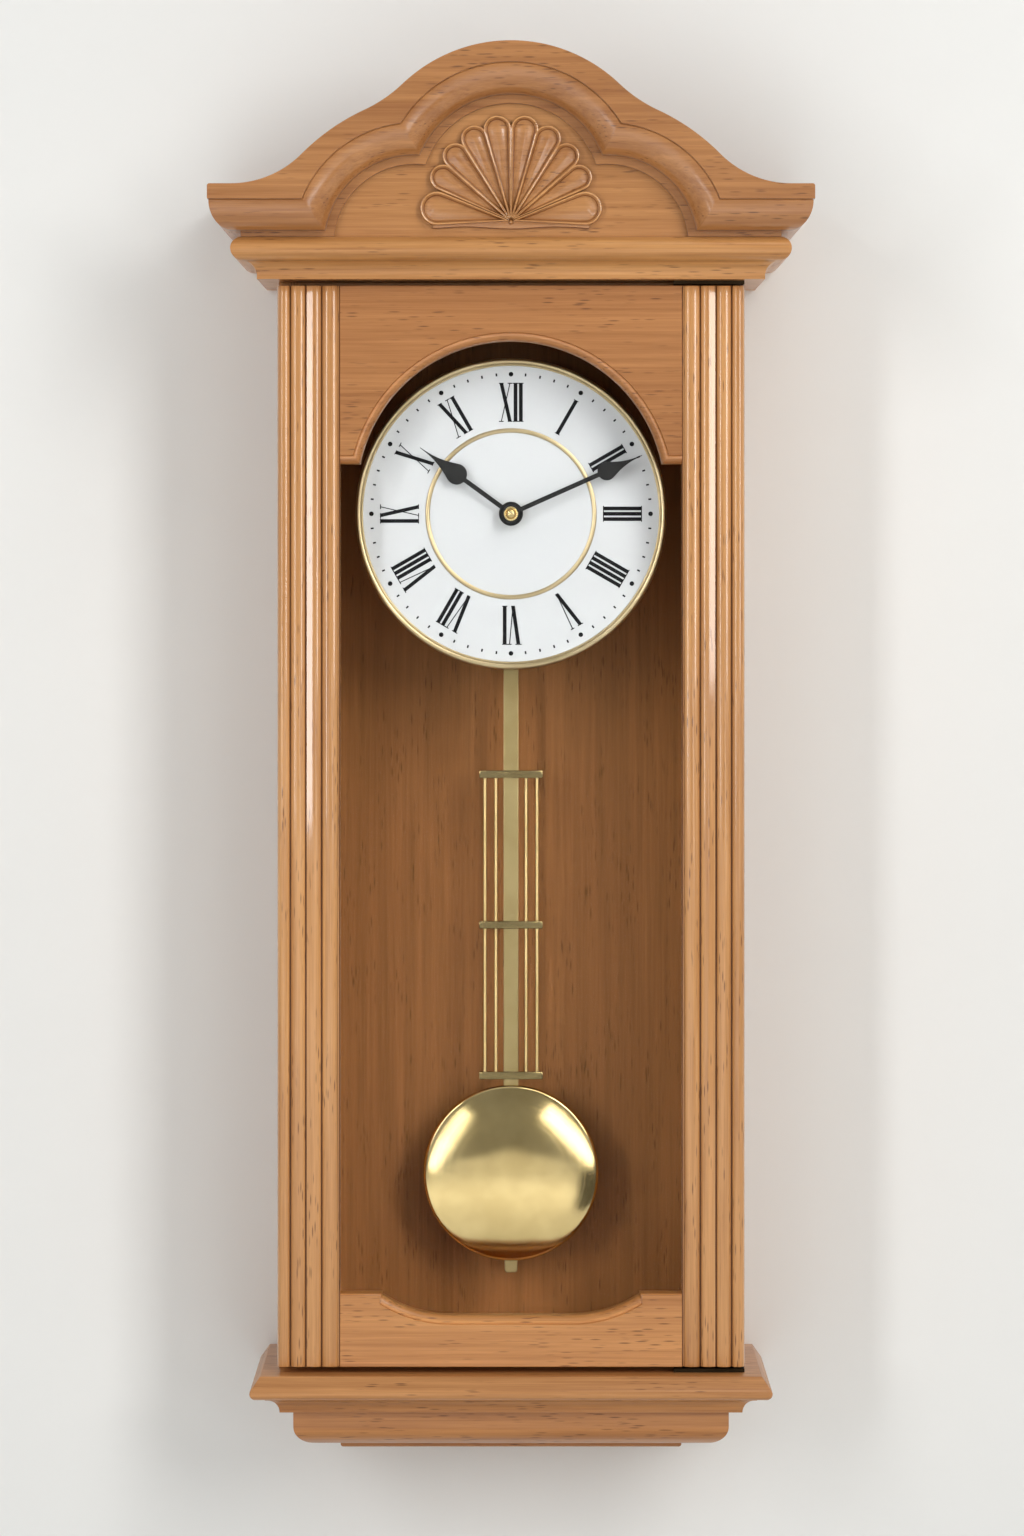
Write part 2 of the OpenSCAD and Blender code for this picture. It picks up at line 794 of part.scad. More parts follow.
// Dial and what carries it
dial_board_t = 5;
move_front = dial_depth - dial_t - dial_board_t;
move_back = move_front - move_d;
board_half = 48;
board_up = 42;
support_w = 10;
dial_screw_x = 43;
dial_screw_z = 34;
dial_screw_l = 16;
module dial_supports() {
  color("peru")
    difference() {
      for (s = [-1, 1])
        block(s > 0 ? board_half - support_w : -board_half, s > 0 ? board_half : support_w - board_half,
          back_t, move_front, dial_z - board_up, dial_z + board_up);
      dial_screws_at(play);
    }
}
module dial_screws_at(gap = 0) {
  for (s = [-1, 1], u = [-1, 1])
    translate([s * dial_screw_x, -move_front - dial_board_t, dial_z + u * dial_screw_z])
      rotate([-90, 0, 0])
        screw(dial_screw_l, gap);
}
module dial_board() {
  color("tan")
    difference() {
      block(-board_half, board_half, move_front, move_front + dial_board_t, dial_z - board_up,
        dial_z + board_up);
      bar(0, dial_z, bush_r + fit_clear, move_front - 1, dial_depth);
      dial_screws_at(play);
    }
}
module dial_board_screws() {
  color("silver")
    dial_screws_at();
}
module dial_plate() {
  color("white")
    difference() {
      bar(0, dial_z, dial_r, dial_depth - dial_t, dial_depth);
      bar(0, dial_z, bush_r + fit_clear, dial_depth - dial_t - 1, dial_depth + 1);
    }
}
bezel_proud = 2.4;
bezel_behind = 2.5;
module bezel() {
  f = dial_depth + 0.05;
  crown = bezel_r - face_r;
  color("gold")
    turned(0, dial_z)
      polygon(concat(
        [[face_r, f]],
        arc([face_r + crown / 2, f + 0.6], crown / 2, bezel_proud - 0.6, 180, 0, 10),
        [[bezel_r, f - bezel_behind], [dial_r + 0.05, f - bezel_behind], [dial_r + 0.05, f]]
      ));
}
module chapter_ring() {
  color("gold")
    difference() {
      bar(0, dial_z, ring_r + ring_w / 2, dial_depth, dial_depth + 0.7);
      bar(0, dial_z, ring_r - ring_w / 2, dial_depth - 1, dial_depth + 1.7);
    }
}

// Numerals drawn with thick and thin strokes, feet towards the centre
numeral_names = ["XII", "I", "II", "III", "IIII", "V", "VI", "VII", "VIII", "IX", "X", "XI"];
thick = 1.6;
thin = 0.4;
serif = 0.4;
print_t = 0.15;
function advance(c) = c == "I" ? 2.3 : (c == "V" ? 5.4 : 6.2);
function before(name, n) = n == 0 ? 0 : before(name, n - 1) + advance(name[n - 1]);
module stroke(x0, x1, w) {
  polygon([[x0 - w / 2, 0], [x0 + w / 2, 0], [x1 + w / 2, numeral_h], [x1 - w / 2, numeral_h]]);
}
module serif_at(x, z, w) {
  translate([x - w / 2, z])
    square([w, serif]);
}
module letter(c) {
  w = advance(c);
  if (c == "I") {
    stroke(0, 0, thick);
    serif_at(0, 0, w);
    serif_at(0, numeral_h - serif, w);
  }
  if (c == "V") {
    stroke(0.3, 0.6 - w / 2, thick);
    stroke(0.3, w / 2 - 0.9, thin);
    serif_at(0.6 - w / 2, numeral_h - serif, w / 2);
    serif_at(w / 2 - 0.9, numeral_h - serif, w / 3);
  }
  if (c == "X") {
    stroke(w / 2 - 1.2, 1.2 - w / 2, thick);
    stroke(1.2 - w / 2, w / 2 - 1.2, thin);
    for (x = [-1, 1], z = [0, numeral_h - serif])
      serif_at(x * (w / 2 - 1.2), z, w / 3);
  }
}
module dial_numerals() {
  color("black")
    translate([0, -dial_depth, dial_z])
      rotate([90, 0, 0])
        linear_extrude(print_t) {
          for (h = [0 : 11]) {
            name = numeral_names[h];
            width = before(name, len(name));
            rotate(-30 * h)
              for (n = [0 : len(name) - 1])
                translate([before(name, n) + (advance(name[n]) - width) / 2, numeral_r])
                  letter(name[n]);
          }
          for (m = [0 : 59])
            rotate(-6 * m)
              translate([0, minute_r])
                if (m % 5 == 0)
                  circle(r = 1, $fn = 24);
                else
                  square([0.7, 1.3], center = true);
        }
}

// Movement: a housing that holds the battery, the sealed motor, the circuit, the coil and the wheels
inner_front = move_front - wall;
inner_back = move_back + wall;
move_half = move_w / 2;
tray_z0 = dial_z + 12.5;
tray_z1 = dial_z + move_up - wall;
battery_r = 7.25;
battery_l = 49.5;
battery_z = (tray_z0 + tray_z1) / 2;
battery_d = inner_back + battery_r + 0.8;
nub_r = 2.75;
nub_l = 1;
arbor_clear_r = arbor_r + run_clear;
stub_r = 0.9;
pivot_z = dial_z - pivot_drop;
pin_r = 1.2;
arm_back = rod_depth + rod_t / 2 + 0.2;
arm_front = arm_back + 4.2;
arm_gap = 0.3;
pipe_front = dial_depth + 4.6;
arbor_front = dial_depth + 9;
m1 = 2 * arbor_gap / 48;
m2 = 2 * arbor_gap / 50;
module movement_case() {
  color("dimgray")
    difference() {
      union() {
        block(-move_half, move_half, inner_back, move_front, dial_z - move_down, dial_z + move_up);
        bar(0, dial_z, bush_r, inner_front, dial_depth + 2.5);
      }
      block(wall - move_half, move_half - wall, inner_back - 1, inner_front,
        dial_z - move_down + wall, tray_z0 - wall);
      block(wall - move_half, move_half - wall, inner_back - 1, inner_front, tray_z0, tray_z1);
      bar(0, dial_z, pipe_r + run_clear, inner_front - 1, dial_depth + 4);
    }
    color("dimgray")
      difference() {
        bar(arbor_gap, dial_z, 2.2, inner_front - 1.9, inner_front);
        bar(arbor_gap, dial_z, stub_r + run_clear, inner_front - 3, inner_front);
      }
}
module movement_cover() {
  color("gray")
    difference() {
      union() {
        block(-move_half, move_half, move_back, inner_back, dial_z - move_down, dial_z + move_up);
        bar(0, dial_z, 2.6, inner_back, inner_back + 2.5);
        bar(arbor_gap, dial_z, 2.2, inner_back, inner_back + 2.5);
        bar(0, pivot_z, 3.2, arm_front + arm_gap, move_back);
      }
      block(wall - move_half + 0.5, move_half - wall - 0.5, move_back - 1, inner_back + 1, tray_z0, tray_z1);
      bar(0, dial_z, arbor_clear_r, move_back + 0.8, inner_back + 3);
      bar(arbor_gap, dial_z, stub_r + run_clear, move_back - 1, inner_back + 3);
      bar(0, pivot_z, pin_r + play, arm_back - 1, inner_back + 1);
    }
}
module fixing_nut() {
  color("goldenrod")
    difference() {
      slab(dial_depth, dial_depth + 2)
        translate([0, dial_z])
          circle(r = 5.1, $fn = 6);
      bar(0, dial_z, bush_r + play, dial_depth - 1, dial_depth + 3);
    }
}
module motor_unit() {
  color("lightgray")
    block(-24, 6, inner_back + 4, inner_front, dial_z - 22, dial_z - 10);
}
module circuit_board() {
  color("green")
    block(-22, 22, inner_front - 1.2, inner_front, dial_z - move_down + wall + 1, dial_z - 23);
}
coil_r = 7;
coil_core_r = 2;
magnet_drop = 26;
module drive_coil() {
  color("chocolate")
    difference() {
      bar(0, pivot_z - magnet_drop, coil_r, inner_back + 0.5, inner_front - 1.2);
      bar(0, pivot_z - magnet_drop, coil_core_r, inner_back - 1, inner_front);
    }
}
module battery() {
  color("darkgray")
    translate([-(battery_l + nub_l) / 2, -battery_d, battery_z])
      rotate([0, 90, 0]) {
        cylinder(r = battery_r, h = battery_l);
        translate([0, 0, battery_l])
          cylinder(r = nub_r, h = nub_l);
      }
}
contact_w = 10;
contact_gap = 0.5;
module battery_contacts() {
  x1 = move_half - wall;
  end = (battery_l + nub_l + fit_clear) / 2;
  color("silver")
    for (s = [-1, 1])
      block(s > 0 ? end : -x1, s > 0 ? x1 : -end, battery_d - contact_w / 2, battery_d + contact_w / 2,
        tray_z0 + contact_gap, tray_z1 - contact_gap);
}
module gear(n, m) {
  pitch = 360 / n;
  root = m * (n / 2 - 1.1);
  tip = m * (n / 2 + 0.8);
  polygon([for (i = [0 : n - 1], q = [[-0.27, root], [-0.1, tip], [0.1, tip], [0.27, root]])
    q[1] * [cos((i + q[0]) * pitch), sin((i + q[0]) * pitch)]]);
}
module wheel(x, n, m, d0, d1, turn) {
  slab(d0, d1)
    translate([x, dial_z])
      rotate(turn)
        gear(n, m);
}
wheel_d = inner_front - 8.5;
module minute_arbor() {
  color("gold") {
    bar(0, dial_z, arbor_r, move_back + 1.2, arbor_front);
    wheel(0, 12, m1, wheel_d - 1, wheel_d + 2.8, 0);
    bar(0, dial_z, 2, wheel_d - 2.9, wheel_d - 1);
    wheel(0, 48, 0.3, wheel_d - 4.1, wheel_d - 2.9, 0);
  }
}
module minute_wheel() {
  color("gold") {
    bar(arbor_gap, dial_z, stub_r, move_back - 4, inner_front - 0.3);
    wheel(arbor_gap, 36, m1, wheel_d, wheel_d + 1.2, 5);
    wheel(arbor_gap, 10, m2, wheel_d + 2, wheel_d + 6, 0);
  }
}
module setting_knob() {
  color("dimgray")
    difference() {
      union() {
        wheel(arbor_gap, 24, 0.44, move_back - 6, move_back - 1.5, 0);
        bar(arbor_gap, dial_z, 2, move_back - 1.5, move_back - arm_gap);
      }
      bar(arbor_gap, dial_z, stub_r + play, move_back - 4 - play, move_back + 1);
    }
}
module hour_wheel() {
  color("gold")
    difference() {
      union() {
        wheel(0, 40, m2, wheel_d + 3.5, wheel_d + 5, 4.5);
        bar(0, dial_z, 2.6, wheel_d + 3, inner_front - arm_gap);
        bar(0, dial_z, pipe_r, wheel_d + 3, pipe_front);
      }
      bar(0, dial_z, arbor_clear_r, wheel_d + 1, pipe_front + 1);
    }
}

// Hands, drawn pointing at twelve and turned to the time
hour_bulb = 28.9;
hour_bulb_r = 4.5;
hour_boss_r = 5.2;
minute_bulb = 45;
minute_bulb_r = 4;
minute_boss_r = 3.9;
hand_t = 0.6;
hand_half = 1;
module hand_outline(length, bulb, bulb_r) {
  taper = [for (i = [0 : 8]) let (t = i / 8)
    [bulb_r * 0.9 * pow(1 - t, 2.2) + 0.15, bulb + bulb_r * 0.4 + t * (length - bulb - bulb_r * 0.4)]];
  translate([0, bulb])
    circle(r = bulb_r);
  translate([-hand_half, 0])
    square([2 * hand_half, bulb]);
  polygon(concat(taper, mirrored(taper)));
}
module hand(angle, length, bulb, bulb_r, boss_r, hole_r, d0, d1) {
  mid = (d0 + d1) / 2;
  difference() {
    union() {
      slab(mid - hand_t / 2, mid + hand_t / 2)
        translate([0, dial_z])
          rotate(-angle)
            hand_outline(length, bulb, bulb_r);
      bar(0, dial_z, boss_r, d0, d1);
    }
    bar(0, dial_z, hole_r + play, d0 - 1, d1 + 1);
  }
}
module hour_hand() {
  color("black")
    hand(hour_angle, hour_l, hour_bulb, hour_bulb_r, hour_boss_r, pipe_r, dial_depth + 2.8, pipe_front);
}
module minute_hand() {
  color("black")
    hand(minute_angle, minute_l, minute_bulb, minute_bulb_r, minute_boss_r, arbor_r,
      pipe_front + 0.6, pipe_front + 2.4);
}
cap_r = 3.1;
module cap_nut() {
  color("gold")
    difference() {
      turned(0, dial_z)
        polygon(concat(
          [[0, pipe_front + 2.4], [cap_r, pipe_front + 2.4]],
          arc([cap_r - 1, arbor_front - 0.6], 1, 1.2, 0, 90, 5),
          [[0, arbor_front + 0.6]]
        ));
      bar(0, dial_z, arbor_r + play, pipe_front + 1, arbor_front + play);
    }
}

// Pendulum
peg_drop = 31;
rod_top = pivot_z - 27;
bob_z = dial_z - bob_drop;
rod_foot = bob_z - bob_r - 5.2;
inner_thin = 6.6;
outer_thin = 11.4;
bar_behind = 1.5;
bar_before = 1.8;
bob_t = 0.6;
bob_dome = 5.6;
rim_r = 0.9;
module pendulum_pin() {
  color("silver") {
    bar(0, pivot_z, pin_r, arm_back - 0.4, inner_back);
    bar(0, pivot_z, pin_r + 1, arm_back - 1, arm_back - 0.4);
  }
}
module pendulum_arm() {
  color("white")
    difference() {
      union() {
        block(-4, 4, arm_back, arm_front, pivot_z - peg_drop - 3, pivot_z);
        bar(0, pivot_z, 4, arm_back, arm_front);
        bar(0, pivot_z - peg_drop, pin_r, rod_depth - rod_t / 2 - 0.8, arm_back + play);
      }
      bar(0, pivot_z, pin_r + run_clear, arm_back - 1, arm_front + 1);
    }
}
module drive_magnet() {
  color("gray")
    bar(0, pivot_z - magnet_drop, 4, arm_front, arm_front + 3.2);
}
module rod_shape(gap) {
  block(-rod_w / 2 - gap, rod_w / 2 + gap, rod_depth - rod_t / 2 - gap, rod_depth + rod_t / 2 + gap,
    rod_foot + rod_w / 2, rod_top);
  bar(0, rod_foot + rod_w / 2, rod_w / 2 + gap, rod_depth - rod_t / 2 - gap, rod_depth + rod_t / 2 + gap);
}
module pendulum_rod() {
  color("gold")
    difference() {
      rod_shape(0);
      bar(0, pivot_z - peg_drop, pin_r + run_clear, rod_depth - rod_t, rod_depth + rod_t);
    }
}
module thin_rods(gap) {
  reach = bar_gap + bar_h / 4 + gap;
  for (x = [-outer_thin, -inner_thin, inner_thin, outer_thin])
    translate([x, -rod_depth, dial_z - bar_drop - bar_gap - reach])
      cylinder(r = thin_r + gap, h = 2 * reach);
}
module crossbars() {
  color("gold")
    difference() {
      for (i = [0 : 2])
        translate([0, 0, dial_z - bar_drop - i * bar_gap])
          block(-bar_w / 2, bar_w / 2, rod_depth - bar_behind, rod_depth + bar_before, -bar_h / 2, bar_h / 2);
      rod_shape(play);
      thin_rods(play);
    }
}
module gridiron_rods() {
  color("gold")
    thin_rods(0);
}
module bob_front() {
  outer = bob_r - rim_r;
  color("gold")
    difference() {
      union() {
        turned(0, bob_z)
          polygon(concat(
            arc([0, rod_depth + 0.3], outer, bob_dome, 0, 90, 14),
            arc([0, rod_depth + 0.3], outer - bob_t, bob_dome - bob_t, 90, 0, 14)
          ));
        turned(0, bob_z)
          translate([outer, rod_depth])
            circle(r = rim_r, $fn = 24);
      }
      rod_shape(0.1);
    }
}
module bob_back() {
  color("gold")
    bar(0, bob_z, bob_r - rim_r, rod_depth - rim_r - bob_t, rod_depth - rim_r);
}

backboard();
case_side(-1);  // left_side
case_side(1);  // right_side
top_board();
bottom_board();
cornice();
base_shelf();
cove_board();
apron_block();
bottom_strip();
pediment_frame();
tympanum_board();
shell_carving();
crown_returns();
glue_blocks();
hanger_plate();
hanger_screws();
case_hinge_plates();
case_hinge_screws();
hinge_washer();
catch_magnet();
dial_supports();
dial_board();
dial_board_screws();
dial_plate();
bezel();
chapter_ring();
dial_numerals();
movement_case();
movement_cover();
fixing_nut();
motor_unit();
circuit_board();
drive_coil();
battery();
battery_contacts();
pendulum_pin();
left_stile();
right_stile();
top_rail();
bottom_rail();
door_glass();
glass_beads();
door_hinge_plates();
door_hinge_screws();
strike_plate();
minute_arbor();
minute_hand();
cap_nut();
hour_wheel();
hour_hand();
minute_wheel();
setting_knob();
pendulum_arm();
drive_magnet();
pendulum_rod();
crossbars();
gridiron_rods();
bob_front();
bob_back();
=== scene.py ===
"""Looks for a pendulum wall clock: honey coloured wood, brass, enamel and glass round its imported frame."""

import math

import bmesh
import bpy
from bpy.props import FloatProperty, FloatVectorProperty, IntProperty, PointerProperty
from bpy.types import Operator, Panel, PropertyGroup
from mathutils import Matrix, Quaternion, Vector


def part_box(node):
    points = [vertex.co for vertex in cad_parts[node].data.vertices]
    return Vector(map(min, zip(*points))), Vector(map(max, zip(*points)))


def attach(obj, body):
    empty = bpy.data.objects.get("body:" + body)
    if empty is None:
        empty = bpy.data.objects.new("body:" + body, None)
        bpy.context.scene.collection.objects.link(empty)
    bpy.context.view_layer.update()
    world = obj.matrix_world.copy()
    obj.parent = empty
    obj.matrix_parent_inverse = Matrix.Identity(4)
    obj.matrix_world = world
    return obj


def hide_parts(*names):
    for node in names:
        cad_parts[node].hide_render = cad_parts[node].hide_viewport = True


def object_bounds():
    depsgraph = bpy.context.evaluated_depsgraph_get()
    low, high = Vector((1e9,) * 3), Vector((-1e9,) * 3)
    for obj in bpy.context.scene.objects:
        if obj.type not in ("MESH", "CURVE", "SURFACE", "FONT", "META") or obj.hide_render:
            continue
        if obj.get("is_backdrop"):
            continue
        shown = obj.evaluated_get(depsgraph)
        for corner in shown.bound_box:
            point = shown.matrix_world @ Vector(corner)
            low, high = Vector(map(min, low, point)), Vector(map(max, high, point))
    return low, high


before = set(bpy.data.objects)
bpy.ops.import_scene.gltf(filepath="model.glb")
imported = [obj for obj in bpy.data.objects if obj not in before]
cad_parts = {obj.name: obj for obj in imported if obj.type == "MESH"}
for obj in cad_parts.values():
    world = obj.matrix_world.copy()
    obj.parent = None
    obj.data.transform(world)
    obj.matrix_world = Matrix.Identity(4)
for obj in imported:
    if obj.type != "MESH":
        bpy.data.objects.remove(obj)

bl_info = {
    "name": "Pendulum wall clock",
    "version": (1, 0, 0),
    "blender": (4, 5, 0),
    "location": "3D View > Sidebar > Clock",
    "description": "Dresses the pendulum wall clock piece by piece",
    "category": "Object",
}

MM = 0.001
SAME_POINT = 0.002
ARRIS_TURN = math.radians(38.0)
ALONG_Z = (0.0, 0.0, 0.0)
ALONG_X = (0.0, math.radians(90), 0.0)
ALONG_Y = (math.radians(90), 0.0, 0.0)


def left(node):
    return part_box(node)[0][0] / MM


def right(node):
    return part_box(node)[1][0] / MM


def under(node):
    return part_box(node)[0][2] / MM


def top(node):
    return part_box(node)[1][2] / MM


def front(node):
    """How far a frame node reaches in front of the wall, in millimetres."""
    return -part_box(node)[0][1] / MM


def behind(node):
    """Where a frame node begins in front of the wall, in millimetres."""
    return -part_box(node)[1][1] / MM


# Levels and widths that the frame gives, the first two in metres and the rest in millimetres
FOOT_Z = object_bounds()[0].z
FLOOR_Z = FOOT_Z - 0.36
HALF_W = right("right_side")
DOOR_FRONT = front("right_stile")
DOOR_BACK = behind("right_stile")
DIAL_Z = (under("dial_plate") + top("dial_plate")) / 2
DIAL_FACE = front("dial_plate")
BOB_Z = (under("bob_back") + top("bob_back")) / 2


# Shapes. Every mesh is drawn in millimetres and scaled when it is finished.

def arc(centre, rx, ry, start, end, steps):
    """Points of an arc in degrees, as (first, second) pairs."""
    turns = [math.radians(start + (end - start) * i / steps) for i in range(steps + 1)]
    return [(centre[0] + rx * math.cos(a), centre[1] + ry * math.sin(a)) for a in turns]


def heading(a, b):
    """The direction from one point to another, in degrees."""
    return math.degrees(math.atan2(b[1] - a[1], b[0] - a[0]))


def meeting(a, from_a, b, from_b):
    """The point at given distances from two others, to the left of the way from the first to the second."""
    gap = b - a
    along = gap / gap.length
    reach = (from_a ** 2 - from_b ** 2 + gap.length ** 2) / (2 * gap.length)
    return a + along * reach + Vector((-along.y, along.x)) * math.sqrt(from_a ** 2 - reach ** 2)


def lofted(bm, outlines):
    """A solid pushed through outlines of (x, depth, z) points, each in the order of the first."""
    foot = face = bm.faces.new([bm.verts.new((x, -d, z)) for x, d, z in outlines[0]])
    for outline in outlines[1:]:
        made = bmesh.ops.extrude_face_region(bm, geom=[face])["geom"]
        if face is not foot and face.is_valid:
            bm.faces.remove(face)
        face = next(item for item in made if isinstance(item, bmesh.types.BMFace))
        for vert, (x, d, z) in zip(face.verts, outline):
            vert.co = (x, -d, z)


def slab(bm, outline, d0, d1):
    """A front view outline of (x, z) points as a board between two depths."""
    lofted(bm, [[(x, d, z) for x, z in outline] for d in (d0, d1)])


def spun(bm, profile, x, z, steps, closed=False):
    """A (radius, depth) profile turned about an axis that runs front to back."""
    verts = [bm.verts.new((x + r, -d, z)) for r, d in profile]
    edges = [bm.edges.new(pair) for pair in zip(verts, verts[1:])]
    if closed:
        edges.append(bm.edges.new((verts[-1], verts[0])))
    bmesh.ops.spin(
        bm, geom=verts + edges, cent=(x, 0.0, z), axis=(0.0, 1.0, 0.0), dvec=(0.0, 0.0, 0.0),
        angle=math.radians(360.0), steps=steps, use_merge=True, use_duplicate=False,
    )


def cuboid(bm, low, high):
    """A block between two corners of (x, depth, z)."""
    made = bmesh.ops.create_cube(bm, size=1.0)["verts"]
    size = [b - a for a, b in zip(low, high)]
    middle = [(a + b) / 2 for a, b in zip(low, high)]
    bmesh.ops.scale(bm, vec=size, verts=made)
    bmesh.ops.translate(bm, vec=(middle[0], -middle[1], middle[2]), verts=made)


def soften(bm, width):
    """Rounds the arrises that are sharper than an angle."""
    sharp = [e for e in bm.edges if len(e.link_faces) == 2 and e.calc_face_angle(0.0) > ARRIS_TURN]
    bmesh.ops.bevel(
        bm, geom=sharp, offset=width, offset_type="OFFSET", segments=2, profile=0.5, affect="EDGES",
        clamp_overlap=True, material=-1,
    )


def set_in_order(bm):
    """Numbers the parts of a mesh by where they are, so that each run gives the same numbers."""
    for parts in (bm.verts, bm.edges, bm.faces):
        for number, part in enumerate(sorted(parts, key=place_of)):
            part.index = number
        parts.sort()
        parts.index_update()


def place_of(part):
    """What a vertex, an edge or a face is sorted by: its place, or the numbers of its corners."""
    return part.co[:] if isinstance(part, bmesh.types.BMVert) else sorted(vert.index for vert in part.verts)


def finish_piece(node, bm, materials, body, smooth=20.0, soft=0.0, pick=None):
    """Makes a piece of a mesh in millimetres, which rides on a body and stands for a frame node."""
    bmesh.ops.remove_doubles(bm, verts=bm.verts, dist=SAME_POINT)
    bmesh.ops.dissolve_degenerate(bm, edges=bm.edges, dist=SAME_POINT)
    bmesh.ops.recalc_face_normals(bm, faces=bm.faces)
    if soft:
        soften(bm, soft)
    if pick:
        for face in bm.faces:
            face.material_index = pick(face.calc_center_median(), face.normal)
    bmesh.ops.scale(bm, vec=(MM, MM, MM), verts=bm.verts)
    set_in_order(bm)
    mesh = bpy.data.meshes.new(node + "_shown")
    bm.to_mesh(mesh)
    bm.free()
    mesh.shade_smooth()
    mesh.set_sharp_from_angle(angle=math.radians(smooth))
    for material in materials:
        mesh.materials.append(material)
    piece = bpy.data.objects.new(node + "_shown", mesh)
    bpy.context.scene.collection.objects.link(piece)
    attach(piece, body)
    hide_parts(node)


def arris():
    """The rounding of the wooden edges, in millimetres."""
    return bpy.context.scene.clock_shape.arris / MM


def dress(nodes, material):
    """Gives frame nodes a material."""
    for node in nodes:
        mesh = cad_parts[node].data
        mesh.materials.clear()
        mesh.materials.append(material)


# Materials

def make(tree, kind, **settings):
    made = tree.nodes.new(kind)
    for key, value in settings.items():
        setattr(made, key, value)
    return made


def put(tree, socket, value):
    """Links an output socket to an input, or writes a number or colour on it."""
    if isinstance(value, bpy.types.NodeSocket):
        tree.links.new(value, socket)
    elif isinstance(value, (tuple, list)) and socket.type == "RGBA":
        socket.default_value = (*value[:3], 1.0)
    else:
        socket.default_value = value


def reckoned(tree, operation, first, second, clamp=False):
    """The result of a maths node on two numbers or sockets."""
    made = make(tree, "ShaderNodeMath", operation=operation, use_clamp=clamp)
    put(tree, made.inputs[0], first)
    put(tree, made.inputs[1], second)
    return made.outputs[0]


def times(tree, first, second, clamp=False):
    return reckoned(tree, "MULTIPLY", first, second, clamp)


def plus(tree, first, second, clamp=False):
    return reckoned(tree, "ADD", first, second, clamp)


def mixed(tree, share, first, second):
    made = make(tree, "ShaderNodeMix", data_type="RGBA")
    for index, value in ((0, share), (6, first), (7, second)):
        put(tree, made.inputs[index], value)
    return made.outputs[2]


def mapped(tree, vector, scale, location=(0.0, 0.0, 0.0), rotation=(0.0, 0.0, 0.0)):
    made = make(tree, "ShaderNodeMapping", vector_type="POINT")
    put(tree, made.inputs["Vector"], vector)
    made.inputs["Scale"].default_value = scale
    made.inputs["Location"].default_value = location
    made.inputs["Rotation"].default_value = rotation
    return made.outputs[0]


def noise(tree, vector, detail=3.0, roughness=0.5, distortion=0.0):
    made = make(tree, "ShaderNodeTexNoise", noise_dimensions="3D")
    put(tree, made.inputs["Vector"], vector)
    made.inputs["Scale"].default_value = 1.0
    made.inputs["Detail"].default_value = detail
    made.inputs["Roughness"].default_value = roughness
    made.inputs["Distortion"].default_value = distortion
    return made.outputs["Fac"]


def between(tree, value, from_low, from_high, to_low=0.0, to_high=1.0):
    made = make(tree, "ShaderNodeMapRange", interpolation_type="SMOOTHSTEP")
    names = ("Value", "From Min", "From Max", "To Min", "To Max")
    for name, number in zip(names, (value, from_low, from_high, to_low, to_high)):
        put(tree, made.inputs[name], number)
    return made.outputs["Result"]


def bumped(tree, shader, height, distance, strength=1.0):
    bump = make(tree, "ShaderNodeBump")
    bump.inputs["Distance"].default_value = distance
    bump.inputs["Strength"].default_value = strength
    put(tree, bump.inputs["Height"], height)
    tree.links.new(bump.outputs["Normal"], shader.inputs["Normal"])


def show_one(tree, output, share, first, second):
    """Sends the first of two shaders to an output, or the second where the share is 1."""
    mix = make(tree, "ShaderNodeMixShader")
    for socket, source in zip(mix.inputs, (share, first, second)):
        tree.links.new(source, socket)
    tree.links.new(mix.outputs[0], output.inputs["Surface"])


def new_material(name):
    """A material with its tree, its shader and the object's coordinates."""
    made = bpy.data.materials.new(name)
    made.use_nodes = True
    tree = made.node_tree
    return made, tree, tree.nodes["Principled BSDF"], make(tree, "ShaderNodeTexCoord").outputs["Object"]


